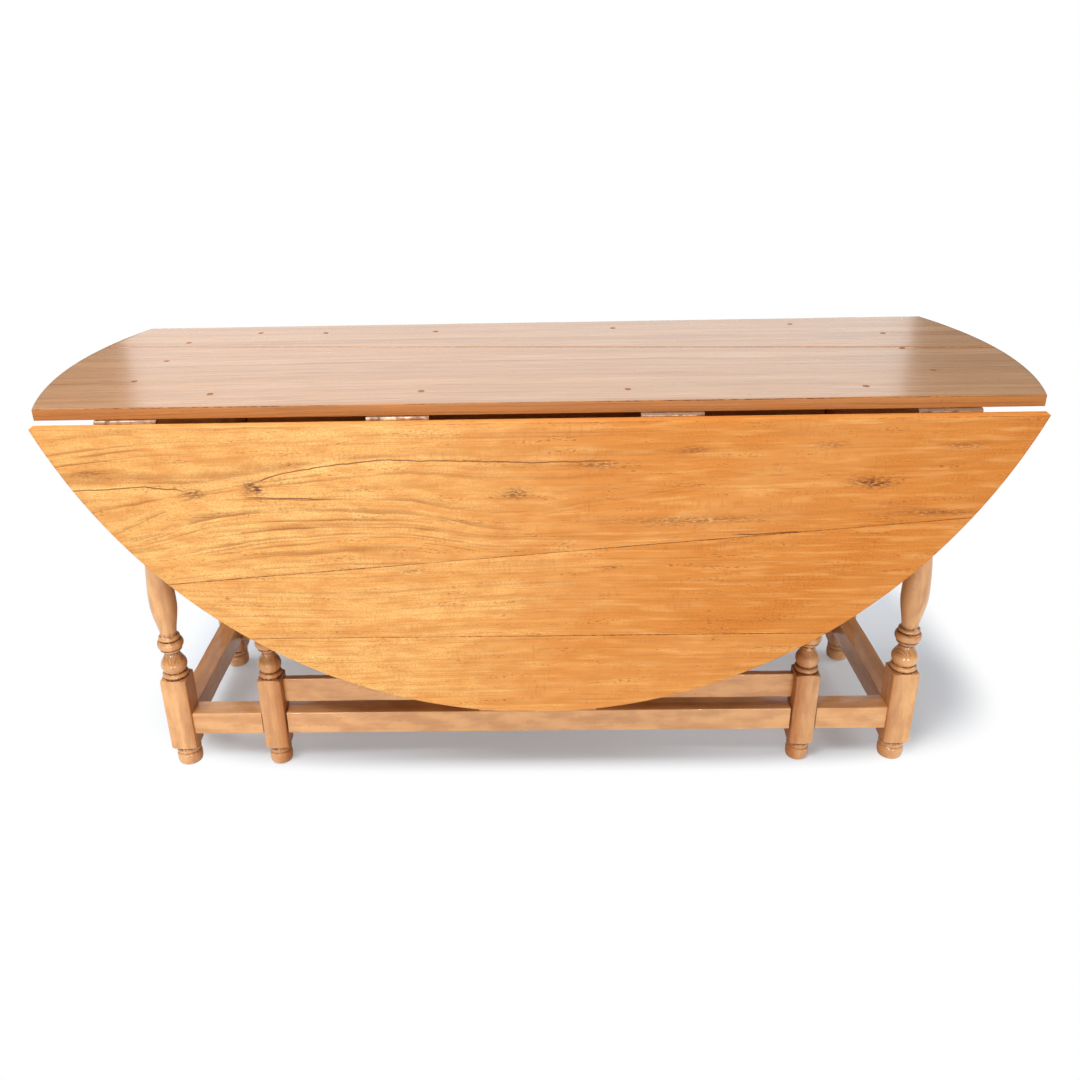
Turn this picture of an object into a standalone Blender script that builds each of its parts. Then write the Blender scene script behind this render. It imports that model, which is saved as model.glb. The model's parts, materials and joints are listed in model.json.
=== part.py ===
"""Round gateleg dining table, closed: both leaves hang and the four gates are shut against the frame.

Lengths are in metres and +Z is up. X runs along the hinges and the long rails, the front leaf hangs on
the -Y side, and the origin lies on the floor under the middle of the top. A leaf's pieces are drawn open
and flat about their hinge line, and an empty on that line lets them down. A gate's pieces are drawn about
an empty on the axis of its pivot post.
"""

import math

import bmesh
import bpy
from mathutils import Matrix

# Top and leaves; a leaf's boards share its depth by their widths, from the hinges out
TOP_HEIGHT = 0.760
TOP_RADIUS = 0.848
CENTRE_WIDTH = 0.555
BOARD_THICKNESS = 0.019
BOARD_CHAMFER = 0.003
LEAF_GAP = 0.003
CENTRE_SEAM = 0.071
CENTRE_SEAM_SLANT = -0.063
LEAF_BOARD_WIDTHS = (0.235, 0.165, 0.1675)
LEAF_INNER_SEAM_SLANT = 0.082

# Fixed frame, over the outer faces of its corner legs
FRAME_LENGTH = 1.429
FRAME_WIDTH = 0.406
LEG_SQUARE = 0.049
FOOT_HEIGHT = 0.041
LOWER_BLOCK_TOP = 0.197
UPPER_BLOCK_BOTTOM = 0.565
RAIL_DEPTH = 0.042
RAIL_INSET = 0.006
STRETCHER_UNDERSIDE = 0.073
STRETCHER_HEIGHT = 0.047
APRON_HEIGHT = 0.095
RAIL_CHAMFER = 0.0015
TENON_THICKNESS = 0.012
TENON_SHOULDER = 0.006
TENON_WALL = 0.002

# Turned members of a leg: heights, then depths below the faces of the square stock
BUN = 0.026
SCRIBED_LINE = 0.0025
BASE_RING = 0.0095
PEAR = 0.042
PEAR_SHOULDER = 0.025
COLLAR = 0.0070
DOUBLE_RING = 0.037
FILLET = 0.0060
VASE_BELLY = 0.061
NECK_RING = 0.030
REEL = 0.012
ROUND_CUT = 0.0004
BEAD_CUT = 0.0017
QUIRK_CUT = 0.0034
SOLE_CUT = 0.0054
FILLET_CUT = 0.0059
REEL_CUT = 0.0074
PEAR_NECK_CUT = 0.0083
VASE_NECK_CUT = 0.0113

# Gates
GATE_SQUARE = 0.0445
GATE_SPACING = 0.1825
GATE_REACH = 0.415
GATE_HALVING = 0.0250
GATE_RAIL_THICKNESS = 0.014
GATE_RAIL_HEIGHT = 0.051
GATE_RAIL_GAP = 0.017
GATE_TENON = 0.012
GATE_POST_SQUARE = 0.040
PIVOT_RADIUS = 0.009
PIVOT_LENGTH = 0.025

# Flap hinges; the end of a hinge line is where it leaves the round top
HINGE_LENGTH = 0.100
HINGE_COUNT = 4
HINGE_END = 0.147
KNUCKLES = 5
KNUCKLE_RADIUS = 0.0045
PIN_RADIUS = 0.0022
PLATE_WIDTH = 0.038
PLATE_THICKNESS = 0.0022

# Clearances
FIT = 0.0003
NOTCH_SIDE = 0.0025
NOTCH_BACK = 0.0006
NOTCH_HEIGHT = 0.0015
PIVOT_CLEARANCE = 0.0007
POST_CLEARANCE = 0.0008
GATE_FOOT_CLEARANCE = 0.0008
GATE_TOP_CLEARANCE = 0.0010
KNUCKLE_GAP = 0.0004
KNUCKLE_RELIEF = 0.0006

# Facets
SHARP_ANGLE = math.radians(40)
ARC_STEPS = 10
OUTER_ARC_STEPS = 30
TURNED_SIDES = 12
KNUCKLE_STEPS = 7
PIN_SIDES = 8

# Places worked out from the sizes above
UNDERSIDE = TOP_HEIGHT - BOARD_THICKNESS
HINGE_LINE = CENTRE_WIDTH / 2 + LEAF_GAP / 2
HINGE_HEIGHT = UNDERSIDE - FIT - KNUCKLE_RADIUS
HINGE_REACH = math.sqrt(TOP_RADIUS**2 - HINGE_LINE**2) - HINGE_END
LEG_X = (FRAME_LENGTH - LEG_SQUARE) / 2
LEG_Y = (FRAME_WIDTH - LEG_SQUARE) / 2
RAIL_X = FRAME_LENGTH / 2 - RAIL_INSET - RAIL_DEPTH / 2
RAIL_Y = FRAME_WIDTH / 2 - RAIL_INSET - RAIL_DEPTH / 2
STRETCHER_TOP = STRETCHER_UNDERSIDE + STRETCHER_HEIGHT
FRAME_TOP = UNDERSIDE - FIT
APRON_UNDERSIDE = FRAME_TOP - APRON_HEIGHT
TENON_LENGTH = LEG_SQUARE - RAIL_INSET - RAIL_DEPTH / 2 - TENON_THICKNESS / 2 - TENON_WALL
GATE_LEG_X = LEG_X - GATE_SPACING
GATE_PIVOT_X = GATE_LEG_X - GATE_REACH
GATE_LEG_OUT = FRAME_WIDTH / 2 - GATE_SQUARE / 2 - RAIL_Y
GATE_HALVING_OUT = FRAME_WIDTH / 2 - GATE_HALVING - RAIL_Y
GATE_RAIL_LOW = STRETCHER_TOP + GATE_RAIL_GAP
GATE_RAIL_HIGH = APRON_UNDERSIDE - GATE_RAIL_GAP - GATE_RAIL_HEIGHT
KNUCKLE_LENGTH = HINGE_LENGTH / KNUCKLES
OVERCUT = 0.010


def finish(name, colour, roughness, metallic=0.0):
    """A plain material with the colour of the piece."""
    material = bpy.data.materials.new(name)
    material.use_nodes = True
    shader = material.node_tree.nodes["Principled BSDF"]
    shader.inputs["Base Color"].default_value = (*colour, 1.0)
    shader.inputs["Roughness"].default_value = roughness
    shader.inputs["Metallic"].default_value = metallic
    return material


def new_object(name, mesh):
    piece = bpy.data.objects.new(name, mesh)
    bpy.context.scene.collection.objects.link(piece)
    return piece


def loft(name, loops):
    """A closed body through loops of equal length, each turning left as seen from the way the loft runs."""
    shape = bmesh.new()
    rings = [[shape.verts.new(point) for point in loop] for loop in loops]
    shape.faces.new(reversed(rings[0]))
    for lower, upper in zip(rings, rings[1:]):
        for corner in range(len(lower)):
            following = (corner + 1) % len(lower)
            shape.faces.new((lower[corner], lower[following], upper[following], upper[corner]))
    shape.faces.new(rings[-1])
    mesh = bpy.data.meshes.new(name)
    shape.to_mesh(mesh)
    shape.free()
    return new_object(name, mesh)


def box(low, high):
    """A block between two corners, given in any order."""
    (x0, x1), (y0, y1), (z0, z1) = (sorted(pair) for pair in zip(low, high))
    corners = ((x0, y0), (x1, y0), (x1, y1), (x0, y1))
    return loft("cutter", [[(x, y, z) for x, y in corners] for z in (z0, z1)])


def turned_loop(radius, height, sides=TURNED_SIDES):
    """A round loop with a vertex on each diagonal, so that a square loop can follow it."""
    turns = [2 * math.pi * (side + 0.5) / sides for side in range(sides)]
    return [(radius * math.cos(turn), radius * math.sin(turn), height) for turn in turns]


def square_loop(half, height):
    """The same number of vertices as a round loop, pushed out to the sides of a square."""
    return [
        (half * x / max(abs(x), abs(y)), half * y / max(abs(x), abs(y)), height)
        for x, y, _ in turned_loop(1.0, height)
    ]


def rod(radius, low, high, sides=TURNED_SIDES):
    """A round cutter or pin along Z."""
    return loft("rod", [turned_loop(radius, height, sides) for height in (low, high)])


def carve(piece, cutters):
    """Take the cutters out of the piece and delete them."""
    for cutter in cutters:
        cut = piece.modifiers.new("cut", "BOOLEAN")
        cut.operation = "DIFFERENCE"
        cut.solver = "EXACT"
        cut.object = cutter
    bpy.context.view_layer.update()
    graph = bpy.context.evaluated_depsgraph_get()
    carved = bpy.data.meshes.new_from_object(piece.evaluated_get(graph))
    piece.modifiers.clear()
    piece.data = carved
    for cutter in cutters:
        bpy.data.objects.remove(cutter)
    return piece


def dress(piece, material, smooth=False):
    """Give the piece its material, with round faces shaded smooth and arrises kept sharp."""
    piece.data.materials.clear()
    piece.data.materials.append(material)
    if smooth:
        piece.data.shade_smooth()
        piece.data.set_sharp_from_angle(angle=SHARP_ANGLE)
    return piece


def place(piece, location=(0, 0, 0), parent=None, turn=0.0):
    piece.parent = parent
    piece.location = location
    piece.rotation_euler = (0, 0, turn)
    return piece


def joint(name, location, rotation):
    """An empty on a joint's axis, which carries the pieces that move about it."""
    empty = bpy.data.objects.new(name, None)
    empty.location = location
    empty.rotation_euler = rotation
    bpy.context.scene.collection.objects.link(empty)
    return empty


def chord(radius, line):
    """Angles at which the line y = offset + slope * x leaves a circle, on its right and on its left."""
    offset, slope = line
    a = 1 + slope**2
    b = offset * slope
    root = math.sqrt(b**2 - a * (offset**2 - radius**2))
    ends = ((-b + root) / a, (-b - root) / a)
    return [math.atan2(offset + slope * x, x) for x in ends]


def plank_outline(radius, low, high):
    """Outline of the part of a round top between two lines, or beyond one line where high is None."""
    start, end = chord(radius, low)
    arcs = [(start, end, OUTER_ARC_STEPS)]
    if high:
        right, left = chord(radius, high)
        arcs = [(start, right, ARC_STEPS), (left, end, ARC_STEPS)]
    outline = []
    for first, last, steps in arcs:
        sweep = (last - first) % (2 * math.pi)
        turns = [first + sweep * step / steps for step in range(steps + 1)]
        outline += [(radius * math.cos(turn), radius * math.sin(turn)) for turn in turns]
    return outline


def plank(name, low, high, shift, material, low_open=False, high_open=False):
    """A board of the round top, between two lines, chamfered where its edge is open.

    Its underside is at height 0 and shift is taken off its Y, so that a leaf's hinge line can be Y = 0.
    """
    levels = (
        (0.0, BOARD_CHAMFER),
        (BOARD_CHAMFER, 0.0),
        (BOARD_THICKNESS - BOARD_CHAMFER, 0.0),
        (BOARD_THICKNESS, BOARD_CHAMFER),
    )
    loops = []
    for height, inset in levels:
        lower = (low[0] + (inset if low_open else FIT / 2), low[1])
        upper = high and (high[0] - (inset if high_open else FIT / 2), high[1])
        outline = plank_outline(TOP_RADIUS - inset, lower, upper)
        loops.append([(x, y - shift, height) for x, y in outline])
    return dress(loft(name, loops), material)


def leaf_tilt():
    """How far past the plumb line a leaf hangs, from the balance of its boards about the hinge pins.

    The boards are a circle segment beyond the hinge line, whose middle plane lies outside the pins.
    """
    half_angle = math.acos(HINGE_LINE / TOP_RADIUS)
    area = TOP_RADIUS**2 * (half_angle - math.sin(half_angle) * math.cos(half_angle))
    centroid = 2 / 3 * (TOP_RADIUS * math.sin(half_angle)) ** 3 / area
    return math.atan2(KNUCKLE_RADIUS + FIT + BOARD_THICKNESS / 2, centroid - HINGE_LINE)


def swell(z0, z1, r0, r1, belly, steps):
    """A bead: half a sine wave laid over the line between its two ends."""
    share = [step / steps for step in range(steps + 1)]
    return [
        (z0 + (z1 - z0) * t, r0 + (r1 - r0) * t + (belly - (r0 + r1) / 2) * math.sin(math.pi * t))
        for t in share
    ]


def ogee(z0, z1, r0, r1, steps):
    """A double curve: half a cosine wave from one radius to the other, without its first point."""
    share = [(step + 1) / steps for step in range(steps)]
    return [(z0 + (z1 - z0) * t, r0 + (r1 - r0) * (1 - math.cos(math.pi * t)) / 2) for t in share]


def bowl(z0, z1, r0, r1, steps):
    """The rounded lower half of a vase: a quarter sine wave, with both its ends."""
    share = [step / steps for step in range(steps + 1)]
    return [(z0 + (z1 - z0) * t, r0 + (r1 - r0) * math.sin(math.pi / 2 * t)) for t in share]


def foot_profile(half, low):
    """Heights and radii of a bun foot and its collar, from the floor to the block above."""
    full, bead, quirk, sole = (half - cut for cut in (ROUND_CUT, BEAD_CUT, QUIRK_CUT, SOLE_CUT))
    return [
        (low, sole),
        *swell(low + SCRIBED_LINE, BUN, bead, bead, full, 2),
        (BUN + SCRIBED_LINE / 2, quirk),
        (BUN + SCRIBED_LINE, bead),
        (FOOT_HEIGHT - SCRIBED_LINE, bead),
        (FOOT_HEIGHT, quirk),
    ]


def baluster_profile(half):
    """Heights and radii between a leg's blocks: ring, pear, double ring, vase, neck ring, reel and ring.

    The vase takes the height that the other members leave.
    """
    full, bead, quirk = (half - cut for cut in (ROUND_CUT, BEAD_CUT, QUIRK_CUT))
    fillet, reel = half - FILLET_CUT, half - REEL_CUT
    pear_neck, vase_neck = half - PEAR_NECK_CUT, half - VASE_NECK_CUT
    pear_low = LOWER_BLOCK_TOP + BASE_RING
    pear_top = pear_low + PEAR
    ring_top = pear_top + DOUBLE_RING
    vase_low = ring_top + FILLET
    reel_top = UPPER_BLOCK_BOTTOM - BASE_RING
    reel_low = reel_top - REEL
    neck = reel_low - NECK_RING
    return [
        *swell(LOWER_BLOCK_TOP, pear_low, quirk, quirk, full, 2),
        *swell(pear_low + SCRIBED_LINE, pear_low + PEAR_SHOULDER, bead, bead, full, 2),
        *ogee(pear_low + PEAR_SHOULDER, pear_top, bead, pear_neck, 2),
        (pear_top + COLLAR, bead),
        *swell(pear_top + COLLAR + SCRIBED_LINE, ring_top, bead, fillet, full, 3),
        *bowl(vase_low, vase_low + VASE_BELLY, fillet, full, 2),
        *ogee(vase_low + VASE_BELLY, neck, full, vase_neck, 5),
        (neck + COLLAR, quirk),
        *swell(neck + COLLAR + SCRIBED_LINE, reel_low, quirk, reel, bead, 2),
        *swell(reel_top, UPPER_BLOCK_BOTTOM, reel, quirk, bead, 2),
    ]


def turned_leg(name, half, foot_low, top):
    """A leg turned from square stock: bun foot, square block, baluster and a second block."""
    loops = [turned_loop(radius, height) for height, radius in foot_profile(half, foot_low)]
    loops += [square_loop(half, FOOT_HEIGHT), square_loop(half, LOWER_BLOCK_TOP)]
    loops += [turned_loop(radius, height) for height, radius in baluster_profile(half)]
    loops += [square_loop(half, UPPER_BLOCK_BOTTOM), square_loop(half, top)]
    return loft(name, loops)


def section(x, depth, height, chamfer):
    """A chamfered rectangle at x, centred on the rail's line."""
    y, z = depth / 2, height / 2
    return [
        (x, -y + chamfer, -z),
        (x, y - chamfer, -z),
        (x, y, -z + chamfer),
        (x, y, z - chamfer),
        (x, y - chamfer, z),
        (x, -y + chamfer, z),
        (x, -y, z - chamfer),
        (x, -y, -z + chamfer),
    ]


def tenoned_rail(name, length, depth, height, tenon_length, tenon_thickness):
    """A rail along X with a stub tenon at each end; length is measured between its shoulders."""
    body = (depth, height, RAIL_CHAMFER)
    tongue = (tenon_thickness, height - 2 * TENON_SHOULDER, RAIL_CHAMFER)
    end = length / 2
    stations = (
        (-end - tenon_length, tongue),
        (-end, tongue),
        (-end, body),
        (end, body),
        (end, tongue),
        (end + tenon_length, tongue),
    )
    return loft(name, [section(x, *size) for x, size in stations])


def mortise(low, high):
    """A cutter for a tenon's socket, with clearance all round."""
    corners = [sorted(pair) for pair in zip(low, high)]
    return box([pair[0] - FIT for pair in corners], [pair[1] + FIT for pair in corners])


def corner_leg(name, side_x, side_y, wood):
    """A corner leg with sockets for the tenons of its two stretchers and two aprons."""
    half = LEG_SQUARE / 2
    leg = turned_leg(name, half, 0.0, FRAME_TOP)
    rail_x = side_x * (RAIL_X - LEG_X)
    rail_y = side_y * (RAIL_Y - LEG_Y)
    tongue = TENON_THICKNESS / 2
    sockets = []
    for low, high in ((STRETCHER_UNDERSIDE, STRETCHER_TOP), (APRON_UNDERSIDE, FRAME_TOP)):
        low += TENON_SHOULDER
        high -= TENON_SHOULDER
        mouth, floor = half + OVERCUT, half - TENON_LENGTH
        sockets.append(
            mortise((-side_x * mouth, rail_y - tongue, low), (-side_x * floor, rail_y + tongue, high))
        )
        sockets.append(
            mortise((rail_x - tongue, -side_y * mouth, low), (rail_x + tongue, -side_y * floor, high))
        )
    carve(leg, sockets)
    dress(leg, wood, smooth=True)
    return place(leg, (side_x * LEG_X, side_y * LEG_Y, 0.0))


def gate_notch(side, height):
    """A cutter for the halving of a long rail where a gate's leg shuts into it, in the rail's own place."""
    face = RAIL_DEPTH / 2
    width = GATE_SQUARE / 2 + NOTCH_SIDE
    floor = -GATE_HALVING_OUT + NOTCH_BACK
    middle = side * GATE_LEG_X
    return box((middle - width, -face - OVERCUT, -height), (middle + width, floor, height))


def long_rail(name, side_y, underside, height, socket_at_top, wood):
    """A stretcher or apron between two corner legs, halved for two gate legs and bored for two posts."""
    length = FRAME_LENGTH - 2 * LEG_SQUARE - 2 * FIT
    rail = tenoned_rail(name, length, RAIL_DEPTH, height, TENON_LENGTH, TENON_THICKNESS)
    cutters = [gate_notch(side, height) for side in (-1, 1)]
    depth = PIVOT_LENGTH + POST_CLEARANCE
    low, high = (height / 2 - depth, height / 2 + OVERCUT)
    if not socket_at_top:
        low, high = -high, -low
    for side in (-1, 1):
        bore = rod(PIVOT_RADIUS + PIVOT_CLEARANCE, low, high)
        bore.location.x = side * GATE_PIVOT_X
        cutters.append(bore)
    carve(rail, cutters)
    dress(rail, wood)
    turn = 0.0 if side_y < 0 else math.pi
    return place(rail, (0.0, side_y * RAIL_Y, underside + height / 2), turn=turn)


def short_rail(name, side_x, underside, height, wood):
    """A stretcher or apron between the two legs of one end."""
    length = FRAME_WIDTH - 2 * LEG_SQUARE - 2 * FIT
    rail = tenoned_rail(name, length, RAIL_DEPTH, height, TENON_LENGTH, TENON_THICKNESS)
    dress(rail, wood)
    return place(rail, (side_x * RAIL_X, 0.0, underside + height / 2), turn=math.pi / 2)


def gate_leg(name, side, wood):
    """A gate's leg about its own centre, halved at the back over the stretcher and the apron."""
    half = GATE_SQUARE / 2
    leg = turned_leg(name, half, GATE_FOOT_CLEARANCE, UNDERSIDE - GATE_TOP_CLEARANCE)
    back = GATE_LEG_OUT - GATE_HALVING_OUT
    reach = half + OVERCUT
    cutters = [
        box((-reach, back, low - NOTCH_HEIGHT), (reach, reach, high + NOTCH_HEIGHT))
        for low, high in ((STRETCHER_UNDERSIDE, STRETCHER_TOP), (APRON_UNDERSIDE, UNDERSIDE))
    ]
    tongue = GATE_RAIL_THICKNESS / 2
    for low in (GATE_RAIL_LOW, GATE_RAIL_HIGH):
        high = low + GATE_RAIL_HEIGHT - TENON_SHOULDER
        cutters.append(
            mortise(
                (-side * reach, GATE_LEG_OUT - tongue, low + TENON_SHOULDER),
                (-side * (half - GATE_TENON), GATE_LEG_OUT + tongue, high),
            )
        )
    carve(leg, cutters)
    return dress(leg, wood, smooth=True)


def gate_post(name, side, wood):
    """A gate's post about its pivot axis, with a turned pivot at each end and sockets for the rails."""
    half = GATE_POST_SQUARE / 2
    low = STRETCHER_TOP + POST_CLEARANCE
    high = APRON_UNDERSIDE - POST_CLEARANCE
    post = loft(
        name,
        [
            turned_loop(PIVOT_RADIUS, low - PIVOT_LENGTH),
            turned_loop(PIVOT_RADIUS, low),
            square_loop(half, low),
            square_loop(half, high),
            turned_loop(PIVOT_RADIUS, high),
            turned_loop(PIVOT_RADIUS, high + PIVOT_LENGTH),
        ],
    )
    tongue = GATE_RAIL_THICKNESS / 2
    sockets = [
        mortise(
            (side * (half + OVERCUT), -tongue, rail + TENON_SHOULDER),
            (side * (half - GATE_TENON), tongue, rail + GATE_RAIL_HEIGHT - TENON_SHOULDER),
        )
        for rail in (GATE_RAIL_LOW, GATE_RAIL_HIGH)
    ]
    carve(post, sockets)
    return dress(post, wood, smooth=True)


def gate(place_name, side, turn, wood):
    """One gate: a turned leg, two rails and a pivot post, about the axis of the post.

    Drawn for the front, where out is -Y; side says whether its leg stands to the right or left of the post.
    """
    pivot_side = side if turn == 0 else -side
    front = -1 if turn == 0 else 1
    axis = joint(f"{place_name}_gate_axis", (pivot_side * GATE_PIVOT_X, front * RAIL_Y, 0.0), (0, 0, turn))
    leg = gate_leg(f"{place_name}_gate_leg", side, wood)
    place(leg, (side * GATE_REACH, -GATE_LEG_OUT, 0.0), axis)
    place(gate_post(f"{place_name}_gate_post", side, wood), parent=axis)
    inner = GATE_POST_SQUARE / 2 + FIT
    outer = GATE_REACH - GATE_SQUARE / 2 - FIT
    for level, low in (("lower", GATE_RAIL_LOW), ("upper", GATE_RAIL_HIGH)):
        rail = tenoned_rail(
            f"{place_name}_gate_{level}_rail",
            outer - inner,
            GATE_RAIL_THICKNESS,
            GATE_RAIL_HEIGHT,
            GATE_TENON - FIT,
            GATE_RAIL_THICKNESS,
        )
        dress(rail, wood)
        place(rail, (side * (inner + outer) / 2, 0.0, low + GATE_RAIL_HEIGHT / 2), axis)


def hinge_plate(name, kept, metal):
    """A flap of a hinge with its knuckles, lying towards +Y of the pin, its top level with the knuckles'.

    kept says whether the even knuckles (0) or the odd ones (1) belong to this flap.
    """
    low = KNUCKLE_RADIUS - PLATE_THICKNESS
    first = math.pi / 2
    last = 2 * math.pi + math.asin(low / KNUCKLE_RADIUS)
    turns = [first + (last - first) * step / KNUCKLE_STEPS for step in range(KNUCKLE_STEPS + 1)]
    outline = [(PLATE_WIDTH, low), (PLATE_WIDTH, KNUCKLE_RADIUS)]
    outline += [(KNUCKLE_RADIUS * math.cos(turn), KNUCKLE_RADIUS * math.sin(turn)) for turn in turns]
    ends = (-HINGE_LENGTH / 2, HINGE_LENGTH / 2)
    flap = loft(name, [[(x, y, z) for y, z in outline] for x in ends])
    bore = rod(PIN_RADIUS + FIT, -HINGE_LENGTH, HINGE_LENGTH, PIN_SIDES)
    bore.rotation_euler = (0, math.pi / 2, 0)
    cutters = [bore]
    for knuckle in range(1 - kept, KNUCKLES, 2):
        start = ends[0] + knuckle * KNUCKLE_LENGTH - KNUCKLE_GAP / 2
        stop = start + KNUCKLE_LENGTH + KNUCKLE_GAP
        clear = KNUCKLE_RADIUS + KNUCKLE_RELIEF
        cutters.append(box((start, -clear, -clear), (stop, clear, clear)))
    carve(flap, cutters)
    return dress(flap, metal, smooth=True)


def hinges(side_name, side_y, leaf_axis, metal):
    """The flap hinges of one leaf: a flap under the top, a flap under the leaf and the pin between them."""
    turn = 0.0 if side_y > 0 else math.pi
    for count in range(1, HINGE_COUNT + 1):
        along = HINGE_REACH * (2 * (count - 1) / (HINGE_COUNT - 1) - 1)
        line = (along, side_y * HINGE_LINE, HINGE_HEIGHT)
        fixed = hinge_plate(f"{side_name}_hinge_{count}_top_flap", 0, metal)
        place(fixed, line, turn=turn + math.pi)
        pin = rod(PIN_RADIUS, -HINGE_LENGTH / 2, HINGE_LENGTH / 2, PIN_SIDES)
        pin.name = f"{side_name}_hinge_{count}_pin"
        pin.data.transform(Matrix.Rotation(math.pi / 2, 4, "Y"))
        dress(place(pin, line), metal, smooth=True)
        moving = hinge_plate(f"{side_name}_hinge_{count}_leaf_flap", 1, metal)
        place(moving, (side_y * along, 0.0, 0.0), leaf_axis)


def leaf(side_name, side_y, wood):
    """A leaf of three boards about its hinge line, let down to where it hangs by itself."""
    turn = 0.0 if side_y > 0 else math.pi
    hang = -math.pi / 2 - leaf_tilt()
    axis = joint(f"{side_name}_leaf_axis", (0.0, side_y * HINGE_LINE, HINGE_HEIGHT), (hang, 0, turn))
    edge = HINGE_LINE + LEAF_GAP / 2
    stretch = (TOP_RADIUS - edge) / sum(LEAF_BOARD_WIDTHS)
    inner = (edge + stretch * LEAF_BOARD_WIDTHS[0], LEAF_INNER_SEAM_SLANT)
    outer = (TOP_RADIUS - stretch * LEAF_BOARD_WIDTHS[2], 0.0)
    boards = (
        plank(f"{side_name}_leaf_hinged_board", (edge, 0.0), inner, HINGE_LINE, wood, low_open=True),
        plank(f"{side_name}_leaf_middle_board", inner, outer, HINGE_LINE, wood),
        plank(f"{side_name}_leaf_outer_board", outer, None, HINGE_LINE, wood),
    )
    for board in boards:
        place(board, (0.0, 0.0, UNDERSIDE - HINGE_HEIGHT), axis)
    return axis


def centre_boards(wood):
    """The two boards of the fixed middle of the top."""
    edge = CENTRE_WIDTH / 2
    seam = (CENTRE_SEAM, CENTRE_SEAM_SLANT)
    front = plank("centre_front_board", (-edge, 0.0), seam, 0.0, wood, low_open=True)
    back = plank("centre_back_board", seam, (edge, 0.0), 0.0, wood, high_open=True)
    for board in (front, back):
        place(board, (0.0, 0.0, UNDERSIDE))


def fixed_frame(wood):
    """Four turned corner legs joined by stretchers near the floor and aprons under the top."""
    sides = (("front", -1), ("back", 1))
    ends = (("left", -1), ("right", 1))
    for side_name, side_y in sides:
        for end_name, side_x in ends:
            corner_leg(f"{side_name}_{end_name}_corner_leg", side_x, side_y, wood)
    levels = (
        ("stretcher", STRETCHER_UNDERSIDE, STRETCHER_HEIGHT, True),
        ("apron", APRON_UNDERSIDE, APRON_HEIGHT, False),
    )
    for level, underside, height, socket_at_top in levels:
        for side_name, side_y in sides:
            long_rail(f"{side_name}_{level}", side_y, underside, height, socket_at_top, wood)
        for end_name, side_x in ends:
            short_rail(f"{end_name}_end_{level}", side_x, underside, height, wood)


def main():
    for old in list(bpy.data.objects):
        bpy.data.objects.remove(old)
    leaf_wood = finish("honey_waxed_board", (0.70, 0.36, 0.12), 0.38)
    top_wood = finish("worn_waxed_top", (0.62, 0.36, 0.17), 0.33)
    frame_wood = finish("turned_frame_wood", (0.66, 0.36, 0.16), 0.45)
    iron = finish("tarnished_hinge_iron", (0.42, 0.34, 0.28), 0.48, 0.9)
    centre_boards(top_wood)
    fixed_frame(frame_wood)
    for side_name, side_y in (("front", -1), ("back", 1)):
        axis = leaf(side_name, side_y, leaf_wood)
        hinges(side_name, side_y, axis, iron)
    gates = (
        ("front_left", -1, 0.0),
        ("front_right", 1, 0.0),
        ("back_left", 1, math.pi),
        ("back_right", -1, math.pi),
    )
    for place_name, side, turn in gates:
        gate(place_name, side, turn, frame_wood)


main()
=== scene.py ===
"""Looks of a round gateleg dining table in waxed wood: fine pieces, finishes and studio."""

import functools
import itertools
import json
import math

import bmesh
import bpy
import numpy as np
from mathutils import Matrix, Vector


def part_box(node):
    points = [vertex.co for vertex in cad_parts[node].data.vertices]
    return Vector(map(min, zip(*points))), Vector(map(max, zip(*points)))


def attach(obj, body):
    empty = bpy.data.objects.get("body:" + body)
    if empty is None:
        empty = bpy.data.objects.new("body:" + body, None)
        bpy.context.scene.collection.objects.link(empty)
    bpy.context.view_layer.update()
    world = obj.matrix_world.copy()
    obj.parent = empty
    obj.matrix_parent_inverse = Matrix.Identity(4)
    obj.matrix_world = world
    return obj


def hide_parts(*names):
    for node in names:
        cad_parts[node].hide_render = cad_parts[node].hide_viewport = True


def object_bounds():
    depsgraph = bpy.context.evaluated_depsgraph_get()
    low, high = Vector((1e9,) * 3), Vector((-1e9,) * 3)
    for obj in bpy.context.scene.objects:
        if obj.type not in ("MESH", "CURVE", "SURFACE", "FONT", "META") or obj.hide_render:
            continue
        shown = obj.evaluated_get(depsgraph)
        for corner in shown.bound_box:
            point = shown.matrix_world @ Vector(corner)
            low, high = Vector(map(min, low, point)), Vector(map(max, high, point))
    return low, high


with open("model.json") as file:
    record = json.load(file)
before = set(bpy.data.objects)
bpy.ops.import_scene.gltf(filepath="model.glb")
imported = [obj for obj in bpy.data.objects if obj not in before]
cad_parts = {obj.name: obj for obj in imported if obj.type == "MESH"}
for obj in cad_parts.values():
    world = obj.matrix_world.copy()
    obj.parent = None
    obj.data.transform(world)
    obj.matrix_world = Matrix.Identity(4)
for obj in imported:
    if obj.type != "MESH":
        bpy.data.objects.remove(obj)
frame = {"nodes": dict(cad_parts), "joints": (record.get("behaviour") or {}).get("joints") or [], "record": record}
CAD_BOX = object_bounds()

bl_info = {
    "name": "Gateleg Table",
    "version": (1, 0, 0),
    "blender": (4, 5, 0),
    "location": "3D View > Sidebar > Table",
    "description": "Fine pieces, finishes and studio of a round gateleg dining table",
    "category": "Add Mesh",
}

MM = 0.001
SAME_PLACE = 1e-6
SIDES = ("front", "back")
ENDS = ("left", "right")
JOINTS = {joint["name"]: joint for joint in frame["joints"]}
BODIES = frame["record"]["behaviour"]["bodies"]
BODY_OF = {node: body for body, nodes in BODIES.items() for node in nodes}

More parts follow.
